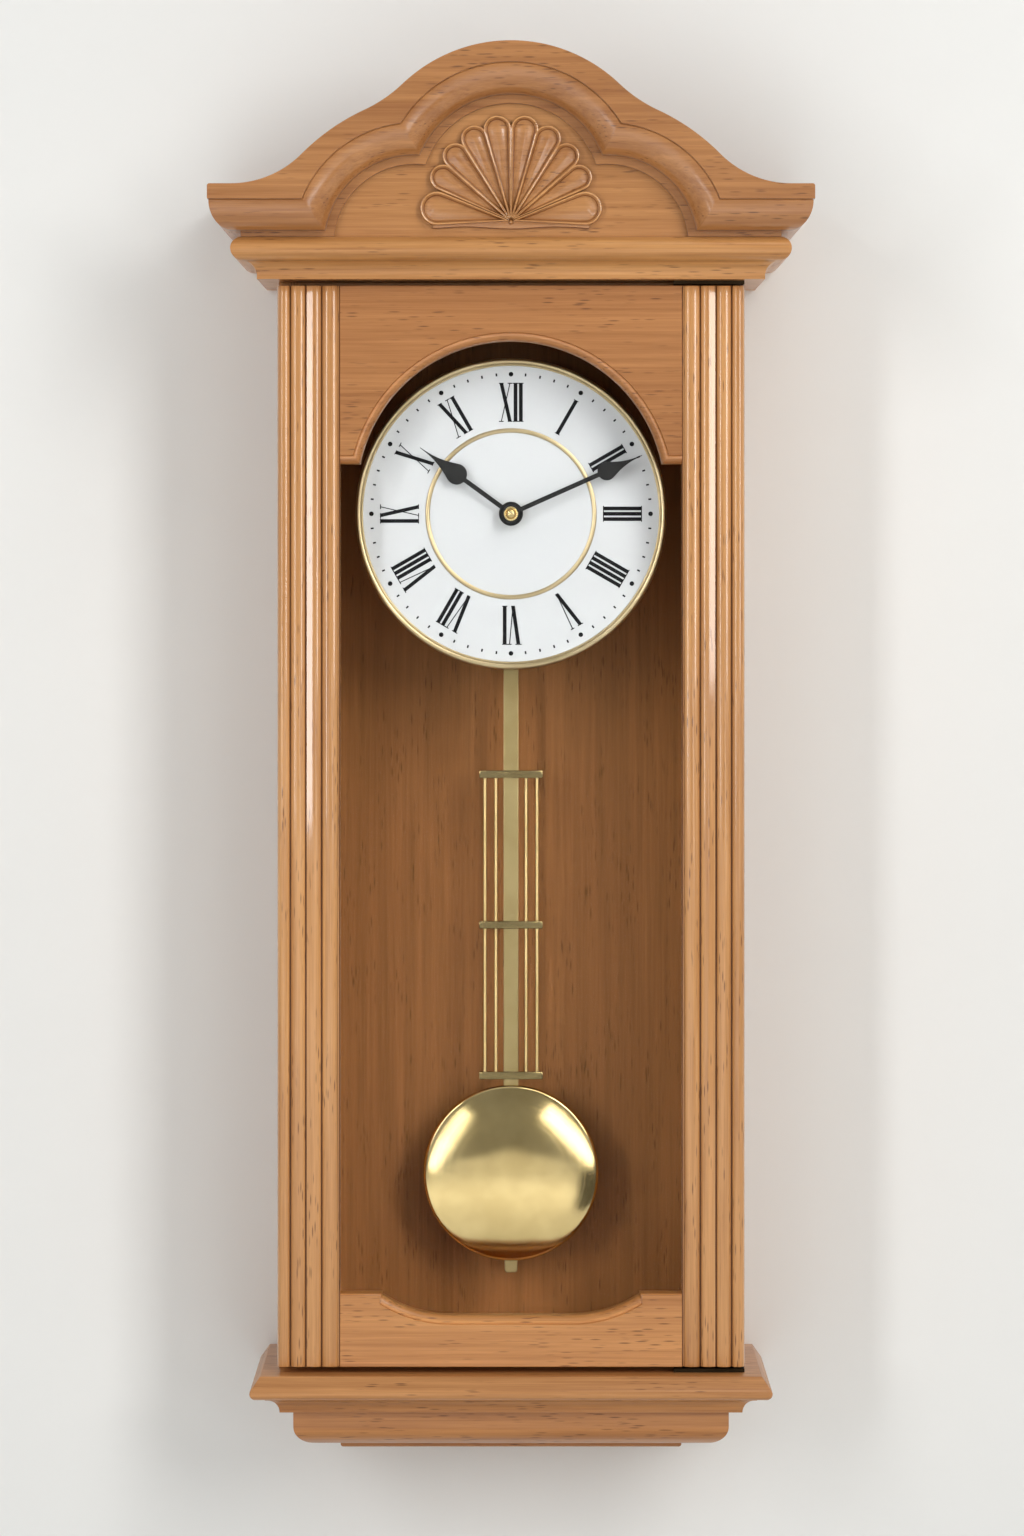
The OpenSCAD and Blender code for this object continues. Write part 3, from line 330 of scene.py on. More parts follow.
def wood_grain_group():
    """Grain along Z: broad tone, growth lines, fibres and short pores."""
    tree = bpy.data.node_groups.get("Wood grain")
    if tree:
        return tree
    tree = bpy.data.node_groups.new("Wood grain", "ShaderNodeTree")
    face = tree.interface
    face.new_socket("Vector", in_out="INPUT", socket_type="NodeSocketVector")
    for name in ("Pale", "Deep", "Pore"):
        face.new_socket(name, in_out="INPUT", socket_type="NodeSocketColor")
    for name in ("Contrast", "Pores"):
        face.new_socket(name, in_out="INPUT", socket_type="NodeSocketFloat")
    face.new_socket("Colour", in_out="OUTPUT", socket_type="NodeSocketColor")
    for name in ("Roughness", "Height"):
        face.new_socket(name, in_out="OUTPUT", socket_type="NodeSocketFloat")
    given = make(tree, "NodeGroupInput")
    out = make(tree, "NodeGroupOutput")
    vector = given.outputs["Vector"]
    broad = noise(tree, mapped(tree, vector, (26.0, 26.0, 3.5)), 3.0, 0.55, 0.7)
    lines = noise(tree, mapped(tree, vector, (230.0, 230.0, 5.0)), 4.0, 0.62, 1.0)
    streaks = noise(tree, mapped(tree, vector, (560.0, 560.0, 11.0), (0.3, 0.7, 0.1)), 3.0, 0.6, 0.3)
    fibres = noise(tree, mapped(tree, vector, (2300.0, 2300.0, 45.0)), 2.0, 0.6)
    cells = make(tree, "ShaderNodeTexVoronoi", feature="F1", voronoi_dimensions="3D")
    cells.inputs["Scale"].default_value = 1.0
    put(tree, cells.inputs["Vector"], mapped(tree, vector, (820.0, 820.0, 95.0)))
    near = between(tree, cells.outputs["Distance"], 0.1, 0.34, 1.0, 0.0)
    patch = between(tree, noise(tree, mapped(tree, vector, (120.0, 120.0, 22.0), (3.1, 1.7, 0.4)), 2.0), 0.42, 0.62)
    pores = times(tree, times(tree, near, patch), given.outputs["Pores"], True)
    tone = times(tree, broad, 0.28)
    for layer, weight in ((lines, 0.3), (streaks, 0.28), (fibres, 0.14)):
        tone = plus(tree, tone, times(tree, layer, weight))
    tone = times(tree, reckoned(tree, "SUBTRACT", tone, 0.5), given.outputs["Contrast"])
    tone = plus(tree, tone, 0.5, True)
    ground = mixed(tree, tone, given.outputs["Deep"], given.outputs["Pale"])
    tree.links.new(mixed(tree, pores, ground, given.outputs["Pore"]), out.inputs["Colour"])
    sheen = plus(tree, times(tree, fibres, 0.1), times(tree, pores, 0.2))
    tree.links.new(plus(tree, sheen, 0.33), out.inputs["Roughness"])
    relief = reckoned(tree, "SUBTRACT", times(tree, fibres, 0.35), times(tree, pores, 0.65))
    tree.links.new(relief, out.inputs["Height"])
    return tree


def wood(name, grain, pale, deep, pore, contrast=4.3, pores=0.75, coat=0.4, gloss=0.2, place=(0.0, 0.0, 0.0),
         bump=0.00005, shine=0.4):
    """Lacquered wood with its grain turned to run along the board."""
    made, tree, shader, where = new_material(name)
    figure = make(tree, "ShaderNodeGroup", node_tree=wood_grain_group())
    put(tree, figure.inputs["Vector"], mapped(tree, where, (1.0, 1.0, 1.0), place, grain))
    put(tree, figure.inputs["Pale"], pale)
    put(tree, figure.inputs["Deep"], deep)
    put(tree, figure.inputs["Pore"], pore)
    figure.inputs["Contrast"].default_value = contrast
    figure.inputs["Pores"].default_value = pores
    tree.links.new(figure.outputs["Colour"], shader.inputs["Base Color"])
    tree.links.new(figure.outputs["Roughness"], shader.inputs["Roughness"])
    bumped(tree, shader, figure.outputs["Height"], bump)
    shader.inputs["IOR"].default_value = 1.48
    shader.inputs["Specular IOR Level"].default_value = shine
    shader.inputs["Coat Weight"].default_value = coat
    shader.inputs["Coat Roughness"].default_value = gloss
    return made


def varied(tree, shader, texture, rough, spread):
    """A roughness that a texture moves either way."""
    put(tree, shader.inputs["Roughness"],
        plus(tree, times(tree, texture, spread), rough - spread / 2))


def metal(name, pale, deep, rough, stretch, spread=0.1, bump=0.000003):
    """Metal with fine marks drawn out along one way."""
    made, tree, shader, where = new_material(name)
    marks = noise(tree, mapped(tree, where, stretch), 4.0, 0.6)
    cloud = noise(tree, mapped(tree, where, (45.0, 45.0, 45.0)), 3.0, 0.55)
    put(tree, shader.inputs["Base Color"], mixed(tree, between(tree, cloud, 0.3, 0.7), deep, pale))
    varied(tree, shader, marks, rough, spread)
    shader.inputs["Metallic"].default_value = 1.0
    bumped(tree, shader, marks, bump)
    return made


def surface(name, pale, deep, rough, grain=900.0, coat=0.0, bump=0.00002, spread=0.08, shine=0.5):
    """Paint, plastic or enamel with a slight texture."""
    made, tree, shader, where = new_material(name)
    fine = noise(tree, mapped(tree, where, (grain, grain, grain)), 2.0, 0.5)
    cloud = noise(tree, mapped(tree, where, (25.0, 25.0, 25.0)), 3.0, 0.5)
    put(tree, shader.inputs["Base Color"], mixed(tree, between(tree, cloud, 0.3, 0.7), deep, pale))
    varied(tree, shader, fine, rough, spread)
    shader.inputs["Coat Weight"].default_value = coat
    shader.inputs["Specular IOR Level"].default_value = shine
    bumped(tree, shader, fine, bump)
    return made


def pane(name):
    """Clear glass that lets light through to what is behind it."""
    made, tree, shader, where = new_material(name)
    shader.inputs["Base Color"].default_value = (0.985, 0.992, 0.988, 1.0)
    shader.inputs["Transmission Weight"].default_value = 1.0
    shader.inputs["IOR"].default_value = 1.06
    smear = noise(tree, mapped(tree, where, (18.0, 18.0, 9.0)), 3.0, 0.6)
    put(tree, shader.inputs["Roughness"], between(tree, smear, 0.35, 0.8, 0.0, 0.02))
    path = make(tree, "ShaderNodeLightPath")
    clear = make(tree, "ShaderNodeBsdfTransparent")
    show_one(tree, tree.nodes["Material Output"], path.outputs["Is Shadow Ray"], shader.outputs[0], clear.outputs[0])
    return made


def kept(name, maker, *values, **settings):
    """A material made once and then shared by its name."""
    return bpy.data.materials.get(name) or maker(name, *values, **settings)


def honey(name, grain, place=(0.0, 0.0, 0.0), tint=(1.0, 1.0, 1.0), **settings):
    """The case's lacquered wood, made paler or deeper by a tint. Some tints are painted shade or painted highlight."""
    name = "Honey wood " + name
    finish = bpy.context.scene.clock_finish
    tones = finish.wood_pale, finish.wood_deep, finish.wood_pore
    colours = [[a * b for a, b in zip(tone, tint)] for tone in tones]
    return kept(name, wood, grain, *colours, place=place, **settings)


def brass(name="Lacquered brass", rough=0.24, stretch=(300.0, 300.0, 300.0), tint=1.0, **settings):
    finish = bpy.context.scene.clock_finish
    colours = [[tint * part for part in colour] for colour in (finish.brass_pale, finish.brass_deep)]
    return kept(name, metal, *colours, rough, stretch, **settings)


def satin_brass():
    return brass("Satin brass", 0.42, (900.0, 900.0, 40.0), 0.48)


def zinc():
    return kept("Zinc plate", metal, (0.62, 0.63, 0.64), (0.46, 0.47, 0.49), 0.36, (220.0, 220.0, 220.0))


class ClockFinish(PropertyGroup):
    """Colours of the finishes."""

    wood_pale: FloatVectorProperty(
        name="Pale wood", description="Lighter grain of the case", subtype="COLOR", size=3,
        default=(0.61, 0.29, 0.093), min=0.0, max=1.0,
    )
    wood_deep: FloatVectorProperty(
        name="Deep wood", description="Darker grain of the case", subtype="COLOR", size=3,
        default=(0.365, 0.143, 0.036), min=0.0, max=1.0,
    )
    wood_pore: FloatVectorProperty(
        name="Pores", description="Short dark marks in the grain", subtype="COLOR", size=3,
        default=(0.12, 0.04, 0.01), min=0.0, max=1.0,
    )
    brass_pale: FloatVectorProperty(
        name="Pale brass", description="Lighter tone of the brass", subtype="COLOR", size=3,
        default=(0.72, 0.56, 0.27), min=0.0, max=1.0,
    )
    brass_deep: FloatVectorProperty(
        name="Deep brass", description="Darker tone of the brass", subtype="COLOR", size=3,
        default=(0.6, 0.455, 0.205), min=0.0, max=1.0,
    )


class ClockShape(PropertyGroup):
    """Sizes of the details that the frame leaves to the finish."""

    arris: FloatProperty(
        name="Arris", description="Rounding of the wooden edges", default=0.00035, min=0.0, max=0.001, unit="LENGTH",
    )
    reed_depth: FloatProperty(
        name="Reed depth", description="Depth of the grooves on the stiles", default=0.0019, min=0.001, max=0.0025,
        unit="LENGTH",
    )
    round_steps: IntProperty(name="Round steps", description="Facets of a full turn", default=160, min=48, max=256)


# Stage. The wall stands a hair behind the clock's back, so the two faces don't lie in one plane.
WALL_Y = 0.0002
STAGE_SIDE, CURTAIN_Y, CURTAIN_TOP = 4.0, -5.2, 3.2
CARD_Y, SHADE_Y = CURTAIN_Y + 0.7, -1.55

# The right half of the pale card's crest from the floor up, as (x, height above the floor)
CARD_CREST = ((1.63, 0.0), (1.5, 0.14), (1.2, 0.235), (0.78, 0.31), (0.45, 0.345), (0.28, 0.42), (0.1, 0.475))
SHADE = ((1.1, 0.0), (0.5, 0.0), (0.53, 0.3), (0.7, 0.36), (1.1, 0.36))

WARM, COOL, PLAIN = (1.0, 0.99, 0.97), (0.98, 0.99, 1.0), (1.0, 1.0, 1.0)

# Lamps as (name, place, target, width, height, watts, colour, spread, lean)
LAMPS = (
    ("top lamp", (0.55, -1.15, 1.35), (0.0, -0.05, -0.1), 0.7, 0.4, 3.2, WARM, 180.0, 0.0),
    ("key lamp", (1.3, -2.0, 0.8), (0.0, -0.05, -0.2), 0.5, 1.6, 25.8, WARM, 180.0, 0.0),
    ("side lamp", (-1.35, -2.0, 0.4), (0.0, -0.05, -0.2), 0.24, 1.5, 14.6, COOL, 180.0, 0.0),
    ("right strip", (0.73, -2.45, -0.19), (0.0, 0.0, -0.3), 0.2, 0.9, 2.7, WARM, 180.0, -44.0),
    ("left strip", (-0.77, -2.45, -0.24), (0.0, 0.0, -0.3), 0.17, 0.85, 1.7, COOL, 180.0, 33.0),
    ("card lamp", (0.0, -3.9, FLOOR_Z + 0.9), (0.0, -4.5, FLOOR_Z + 0.15), 2.6, 0.1, 2.6, PLAIN, 60.0, 0.0),
    ("floor lamp", (0.0, -3.0, 2.6), (0.0, -3.0, -0.8), 3.6, 2.6, 47.0, PLAIN, 62.0, 0.0),
    ("back lamp", (0.6, 1.6, 0.75), (0.0, 0.0, -0.17), 0.7, 0.7, 2.4, PLAIN, 36.0, 0.0),
)

# The picture: its rows, the row of the horizon, and the size of a row at a distance, both in millimetres
PHOTO_ROWS, HORIZON_ROW = 1536, 560
FRONT_AWAY, ROW_SIZE = 2300.0, 0.424
EYE_Y, EYE_ABOVE_FOOT = -2.396, 0.3816

# Strengths of the world: the light that it sheds, and the pale background that the eye, metal and glass see
FILL_LIGHT, BACKGROUND = 0.16, 0.6


class CLOCK_OT_stage(Operator):
    """Builds the wall, the floor, the lights and the camera"""

    bl_idname = "clock.stage"
    bl_label = "Stage"

    def execute(self, context):
        scene = context.scene
        scene.view_settings.view_transform = "Standard"
        build_wall_and_floor()
        for lamp in LAMPS:
            area_lamp(*lamp)
        build_world(scene)
        build_camera(scene)
        return {"FINISHED"}


def plaster(name, tone, open_behind=False):
    """Matt paint. The wall is open from behind, and to light that starts at the clock's back close before it."""
    made, tree, shader, where = new_material(name)
    cloud = noise(tree, mapped(tree, where, (5.0, 5.0, 5.0)), 4.0, 0.6)
    put(tree, shader.inputs["Base Color"], mixed(tree, cloud, tuple(0.965 * c for c in tone), tone))
    shader.inputs["Roughness"].default_value = 0.9
    shader.inputs["Specular IOR Level"].default_value = 0.1
    if open_behind:
        path = make(tree, "ShaderNodeLightPath")
        side = make(tree, "ShaderNodeNewGeometry")
        close = reckoned(tree, "LESS_THAN", path.outputs["Ray Length"], 1.5 * WALL_Y)
        away = reckoned(tree, "SUBTRACT", 1.0, path.outputs["Is Camera Ray"])
        gap = reckoned(tree, "MAXIMUM", times(tree, close, away), side.outputs["Backfacing"])
        clear = make(tree, "ShaderNodeBsdfTransparent")
        show_one(tree, tree.nodes["Material Output"], gap, shader.outputs[0], clear.outputs[0])
    return made


def stage_plane(name, corners, material, seen=True):
    """A sheet of the stage. The cards in front of the clock show in its brass but not to the camera."""
    bm = bmesh.new()
    bm.faces.new([bm.verts.new(corner) for corner in corners])
    mesh = bpy.data.meshes.new(name)
    bm.to_mesh(mesh)
    bm.free()
    mesh.materials.append(material)
    plane = bpy.data.objects.new(name, mesh)
    plane.visible_camera = seen
    bpy.context.scene.collection.objects.link(plane)
    plane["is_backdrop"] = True


def build_wall_and_floor():
    side, far, foot, height = STAGE_SIDE, CURTAIN_Y, FLOOR_Z, CURTAIN_TOP
    stage_plane(
        "wall", [(-side, WALL_Y, foot), (side, WALL_Y, foot), (side, WALL_Y, height), (-side, WALL_Y, height)],
        plaster("Wall paint", (0.885, 0.89, 0.875), True),
    )
    stage_plane(
        "floor", [(-side, far, foot), (side, far, foot), (side, -far, foot), (-side, -far, foot)],
        plaster("Floor", (0.72, 0.715, 0.7)),
    )
    stage_plane(
        "far_curtain", [(side, far, foot), (-side, far, foot), (-side, far, height), (side, far, height)],
        plaster("Grey curtain", (0.68, 0.67, 0.65)),
    )
    card = [*CARD_CREST, *[(-x, z) for x, z in reversed(CARD_CREST)]]
    stage_plane("pale_card", [(x, CARD_Y, foot + z) for x, z in card], plaster("Pale card", (0.8, 0.79, 0.77)), False)
    dark = plaster("Dark card", (0.12, 0.115, 0.1))
    stage_plane("dark_card", [(x, SHADE_Y, foot + z) for x, z in SHADE], dark, False)


def area_lamp(name, place, target, width, height, power, colour, spread, lean):
    """A rectangular lamp that faces its target, turned about its own axis by a lean in degrees."""
    lamp = bpy.data.lights.new(name, "AREA")
    lamp.shape, lamp.size, lamp.size_y = "RECTANGLE", width, height
    lamp.energy, lamp.color = power, colour
    lamp.spread = math.radians(spread)
    holder = bpy.data.objects.new(name, lamp)
    holder.location = place
    aim = (Vector(target) - Vector(place)).to_track_quat("-Z", "Y")
    holder.rotation_euler = (aim @ Quaternion((0.0, 0.0, 1.0), math.radians(-lean))).to_euler()
    bpy.context.scene.collection.objects.link(holder)


def build_world(scene):
    """A dim even light that looks like a pale background."""
    world = bpy.data.worlds.new("Studio") if scene.world is None else scene.world
    scene.world = world
    world.use_nodes = True
    tree = world.node_tree
    tree.nodes.clear()
    path = make(tree, "ShaderNodeLightPath")
    clear = reckoned(tree, "MAXIMUM", path.outputs["Is Glossy Ray"], path.outputs["Is Transmission Ray"])
    seen = reckoned(tree, "MAXIMUM", path.outputs["Is Camera Ray"], clear)
    shades = [make(tree, "ShaderNodeBackground") for _ in range(2)]
    for shade, colour, strength in zip(shades, (COOL, PLAIN), (FILL_LIGHT, BACKGROUND)):
        shade.inputs["Color"].default_value = (*colour, 1.0)
        shade.inputs["Strength"].default_value = strength
    show_one(tree, make(tree, "ShaderNodeOutputWorld"), seen, *[shade.outputs[0] for shade in shades])


def build_camera(scene):
    """A long lens straight in front of the dial, framed as the photograph is."""
    camera = bpy.data.cameras.new("camera")
    camera.sensor_width = 36.0
    camera.lens = camera.sensor_width * FRONT_AWAY / (PHOTO_ROWS * ROW_SIZE)
    camera.shift_x = 1 / PHOTO_ROWS
    camera.shift_y = (HORIZON_ROW - PHOTO_ROWS / 2) / PHOTO_ROWS
    camera.clip_end = 50.0
    holder = bpy.data.objects.new("camera", camera)
    holder.location = (0.0, EYE_Y, FOOT_Z + EYE_ABOVE_FOOT)
    holder.rotation_euler = (math.radians(90), 0.0, 0.0)
    scene.collection.objects.link(holder)
    scene.camera = holder


# Case

class CLOCK_OT_carcass(Operator):
    """Makes the sides, the top and bottom boards, and finishes the backboard and blocks"""

    bl_idname = "clock.carcass"
    bl_label = "Carcass"

    def execute(self, context):
        for number, node in enumerate(("left_side", "right_side")):
            self.board(node, honey(node, ALONG_Z, (0.13 + number, 0.4, 0.2 * number)))
        for number, node in enumerate(("top_board", "bottom_board")):
            self.board(node, honey(node, ALONG_X, (0.33 + number, 0.1, 0.4)))
        # The back veneer is darker than the case wood. Part of that is painted shade for the inside of the case.
        dress(["backboard"], kept(
            "Back veneer", wood, ALONG_Z, (0.31, 0.134, 0.045), (0.165, 0.068, 0.02), (0.05, 0.018, 0.005),
            contrast=2.7, pores=0.55, coat=0.0, shine=0.1,
        ))
        bare = ((0.62, 0.42, 0.23), (0.46, 0.28, 0.14), (0.27, 0.15, 0.07))
        dress(["glue_blocks"], kept("Bare softwood", wood, ALONG_X, *bare, coat=0.0))
        dress(["glass_beads"], honey("beads", ALONG_X, (0.4, 0.8, 0.3), (0.8, 0.76, 0.74)))
        dress(["dial_supports"], kept("Bare softwood upright", wood, ALONG_Z, *bare, coat=0.0))
        dress(["dial_board"], kept("Dial board", wood, ALONG_X, *bare, coat=0.0, contrast=2.0))
        return {"FINISHED"}

    def board(self, node, material):
        bm = bmesh.new()
        cuboid(bm, (left(node), behind(node), under(node)), (right(node), front(node), top(node)))
        finish_piece(node, bm, [material], "case", soft=arris())


# Mouldings

# Profiles from the bottom up, as (reach beyond the case, height)
CORNICE = [(8.2, 0.0), *arc((14.2, 1.6), 6.0, 6.0, 180, 95, 12), *arc((14.0, 12.6), 5.0, 5.0, -85, 85, 20),
           (14.0, 17.6)]
SHELF = [(5.0, 0.0), *arc((8.5, 3.2), 2.8, 2.8, -90, 40, 14), (7.0, 10.2)]
COVE = [*arc((5.0, 0.0), 6.0, 6.0, 180, 90, 12), (5.0, 6.4)]
APRON = [*arc((-17.6, 8.5), 11.0, 8.5, -90, 0, 16), (-6.6, 15.4)]
STRIP = [*arc((-27.7, 1.5), 1.5, 1.5, -90, 0, 6), (-26.2, 3.4)]


class CLOCK_OT_mouldings(Operator):
    """Makes the cornice and the four boards of the base, with mitred returns"""

    bl_idname = "clock.mouldings"
    bl_label = "Cornice and base"

    def execute(self, context):
        # The cornice's paler tint is partly a painted highlight on its upward-facing nose.
        boards = (("cornice", CORNICE, (1.1, 1.15, 1.22)), ("base_shelf", SHELF, (1.02, 1.02, 1.1)),
                  ("cove_board", COVE, (0.95, 0.9, 0.88)), ("apron_block", APRON, (0.88, 0.8, 0.76)),
                  ("bottom_strip", STRIP, (0.88, 0.8, 0.76)))
        for number, (node, profile, tint) in enumerate(boards):
            self.moulded_board(node, profile, tint, 0.37 * number)
        return {"FINISHED"}

    def moulded_board(self, node, profile, tint, shift):
        bm = bmesh.new()
        foot = under(node)
        outlines = []
        for reach, height in profile:
            x, d, z = HALF_W + reach, DOOR_FRONT + reach, foot + height
            outlines.append([(-x, 0.0, z), (x, 0.0, z), (x, d, z), (-x, d, z)])
        lofted(bm, outlines)
        materials = [honey(node, ALONG_X, (0.2, shift, 0.5), tint),
                     honey("return " + node, ALONG_Y, (shift, 0.3, 0.1), tint)]

        def pick(middle, normal):
            return int(abs(middle.x) - HALF_W > -middle.y - DOOR_FRONT and abs(normal.z) < 0.98)

        finish_piece(node, bm, materials, "case", soft=arris(), pick=pick)


# Crown

CROWN_X = right("crown_returns")
CROWN_FOOT = under("crown_returns")
CROWN_FRONT = front("pediment_frame")
OVOLO_W, OVOLO_D, QUIRK, STEP, BAND, FILLET = 12.8, 10.5, 0.6, 3.0, 3.7, 2.4
CAP_UNDER = CROWN_FOOT + FILLET + OVOLO_W
TYMPANUM_TINT = (0.97, 0.98, 1.05)
CAP_TOP = top("crown_returns")

# The left and middle lobes of the opening, as (x, z, radius). The right one mirrors the left.
LOBES = ((-40.8, CAP_UNDER - 18.8, 50.8), (0.0, CAP_UNDER + 3.2, 54.5))


def crest_outline():
    """The top of the crown from left to right, a chain of circles that meet smoothly."""
    wing_r, shoulder_r, neck_r, crest_r = 42.0, 91.1, 60.0, 66.0
    wing = Vector((10.0 - CROWN_X, CAP_TOP + wing_r))
    crest = Vector((0.0, CAP_UNDER + 0.5))
    shoulder_z = CAP_UNDER - 45.4
    shoulder = Vector((wing.x + math.sqrt((shoulder_r + wing_r) ** 2 - (wing.y - shoulder_z) ** 2), shoulder_z))
    neck = meeting(shoulder, shoulder_r + neck_r, crest, crest_r + neck_r)
    half = [
        *arc((1.0 - CROWN_X, CAP_TOP - 1.0), 1.0, 1.0, 180, 90, 5),
        *arc(wing, wing_r, wing_r, -90, heading(wing, shoulder), 20),
        *arc(shoulder, shoulder_r, shoulder_r, heading(shoulder, wing), heading(shoulder, neck), 18)[1:],
        *arc(neck, neck_r, neck_r, heading(neck, shoulder), heading(neck, crest), 12)[1:],
        *arc(crest, crest_r, crest_r, heading(crest, neck), 90, 30)[1:],
    ]
    return half + [(-x, z) for x, z in reversed(half[:-1])]


def end_points():
    """The crown's end from the foot up, as (way in from the end, drop below the cap)."""
    curve = [(OVOLO_D - (OVOLO_D - QUIRK) * math.cos(a), 0.6 - (OVOLO_W - 0.6) * math.sin(a))
             for a in [math.radians(-90 + 90 * i / 16) for i in range(17)]]
    groove = [(QUIRK + 0.35, 0.35), (QUIRK + 0.35, 0.05), (0.0, 0.0)]
    return [(OVOLO_D + STEP, OVOLO_W + FILLET), (OVOLO_D + STEP, OVOLO_W), *curve, *groove]


def lobe_path(drop, inset):
    """The edge of the opening from left to right at one step of the moulding."""
    line = CAP_UNDER - drop
    (outer, outer_r), (crest, crest_r) = [(Vector((x, z)), r - inset) for x, z, r in LOBES]
    foot = Vector((outer.x - math.sqrt(outer_r ** 2 - (line - outer.y) ** 2), line))
    meet = meeting(outer, outer_r, crest, crest_r)
    side = arc(outer, outer_r, outer_r, heading(outer, foot), heading(outer, meet), 36)
    start = heading(crest, meet)
    middle = arc(crest, crest_r, crest_r, start, 180 - start, 60)
    return side + middle[1:-1] + [(-x, z) for x, z in reversed(side)]


class CLOCK_OT_pediment(Operator):
    """Makes the moulded front board of the crown, the board behind it and its returns"""

    bl_idname = "clock.pediment"
    bl_label = "Crown"

    def execute(self, context):
        crest = crest_outline()
        ends = end_points()
        self.frame_board(crest, ends)
        outline = [(CROWN_X - w, CAP_UNDER - d) for w, d in ends]
        whole = crest + outline[::-1] + [(-x, z) for x, z in outline]
        bm = bmesh.new()
        slab(bm, whole, behind("tympanum_board"), front("tympanum_board"))
        material = honey("tympanum", ALONG_X, (0.3, 0.9, 0.2), TYMPANUM_TINT)
        finish_piece("tympanum_board", bm, [material], "case", soft=arris() * 0.6)
        bm = bmesh.new()
        corner = [(x, z) for x, z in arc((CROWN_X - 1.0, CAP_TOP - 1.0), 1.0, 1.0, 0, 90, 5)]
        for side in (-1, 1):
            inner = [(side * (CROWN_X - 24.0), CAP_TOP), (side * (CROWN_X - 24.0), CROWN_FOOT)]
            slab(bm, inner + [(side * x, z) for x, z in outline + corner], 0.0, front("crown_returns"))
        material = honey("crown returns", ALONG_Y, (0.6, 0.2, 0.9), (0.89, 0.82, 0.8))
        finish_piece("crown_returns", bm, [material], "case", soft=arris() * 0.6)
        return {"FINISHED"}

    def frame_board(self, crest, ends):
        """Each layer is one cut of the board, from the tympanum to the front of the cap."""
        layers = [(OVOLO_D + STEP + 2.3, 0, OVOLO_W + BAND), (OVOLO_D + STEP, 0, OVOLO_W + BAND)]
        layers += [(way_in, number, ends[number][1]) for number, (way_in, drop) in enumerate(ends) if number]
        outlines = []
        for way_in, number, inset in layers:
            depth = CROWN_FRONT - way_in
            side = [ends[max(number, k)] for k in range(len(ends))]
            right_end = [(CROWN_X - w, CAP_UNDER - d) for w, d in side]
            left_end = [(-x, z) for x, z in right_end]
            path = lobe_path(ends[number][1], inset)
            whole = crest + right_end[::-1] + path[::-1] + left_end
            outlines.append([(x, depth, z) for x, z in whole])
        bm = bmesh.new()
        lofted(bm, outlines)
        tint = (0.86, 0.81, 0.81)
        materials = [honey("crown", ALONG_X, (0.9, 0.6, 0.1), tint, coat=1.0, gloss=0.15),
                     honey("crown end", ALONG_Y, (0.1, 0.5, 0.7), tint, coat=1.0, gloss=0.22),
                     # Painted shade: a dark tint for the down-facing walls of the quirk and of the step.
                     honey("crown groove", ALONG_X, (0.9, 0.6, 0.1), (0.4, 0.3, 0.22), coat=0.1)]

        def pick(middle, normal):
            drop = CROWN_FRONT + middle.y
            # The down-facing walls of the quirk, and of the step by the tympanum, get the painted shade.
            if normal.z < -0.1 and abs(normal.y) < 0.35 and (0.12 < drop < 1.05 or drop > OVOLO_D + 0.1):
                return 2
            return int(CROWN_X - abs(middle.x) < drop and middle.z < CAP_UNDER and abs(middle.x) > 100.0)

        finish_piece("pediment_frame", bm, materials, "case", soft=arris(), pick=pick)


# The shell: petals on the right as (turn from upright, length, half angle), mirrored on the left
PETALS = ((8.5, 45.2, 8.8), (24.0, 43.9, 8.9), (40.5, 41.8, 9.1), (57.5, 39.8, 9.6), (80.3, 39.0, 13.2))
HUB_Z = CROWN_FOOT + 6.6
CARVED_FROM = behind("shell_carving")

# Cuts of a petal from the board to the hollow, as (inset at the round end, gap at the hub, height)
PETAL_CUTS = (
    (0.0, 0.0, -0.2), (0.0, 0.0, 2.0), (0.12, 0.5, 2.75), (0.35, 1.0, 3.12), (0.65, 1.6, 3.2), (0.95, 2.2, 3.08),
    (1.25, 3.0, 2.5), (1.6, 3.9, 1.7), (1.95, 4.9, 1.05), (2.5, 6.8, 0.7), (3.6, 10.0, 0.85), (5.0, 15.0, 1.3),
)


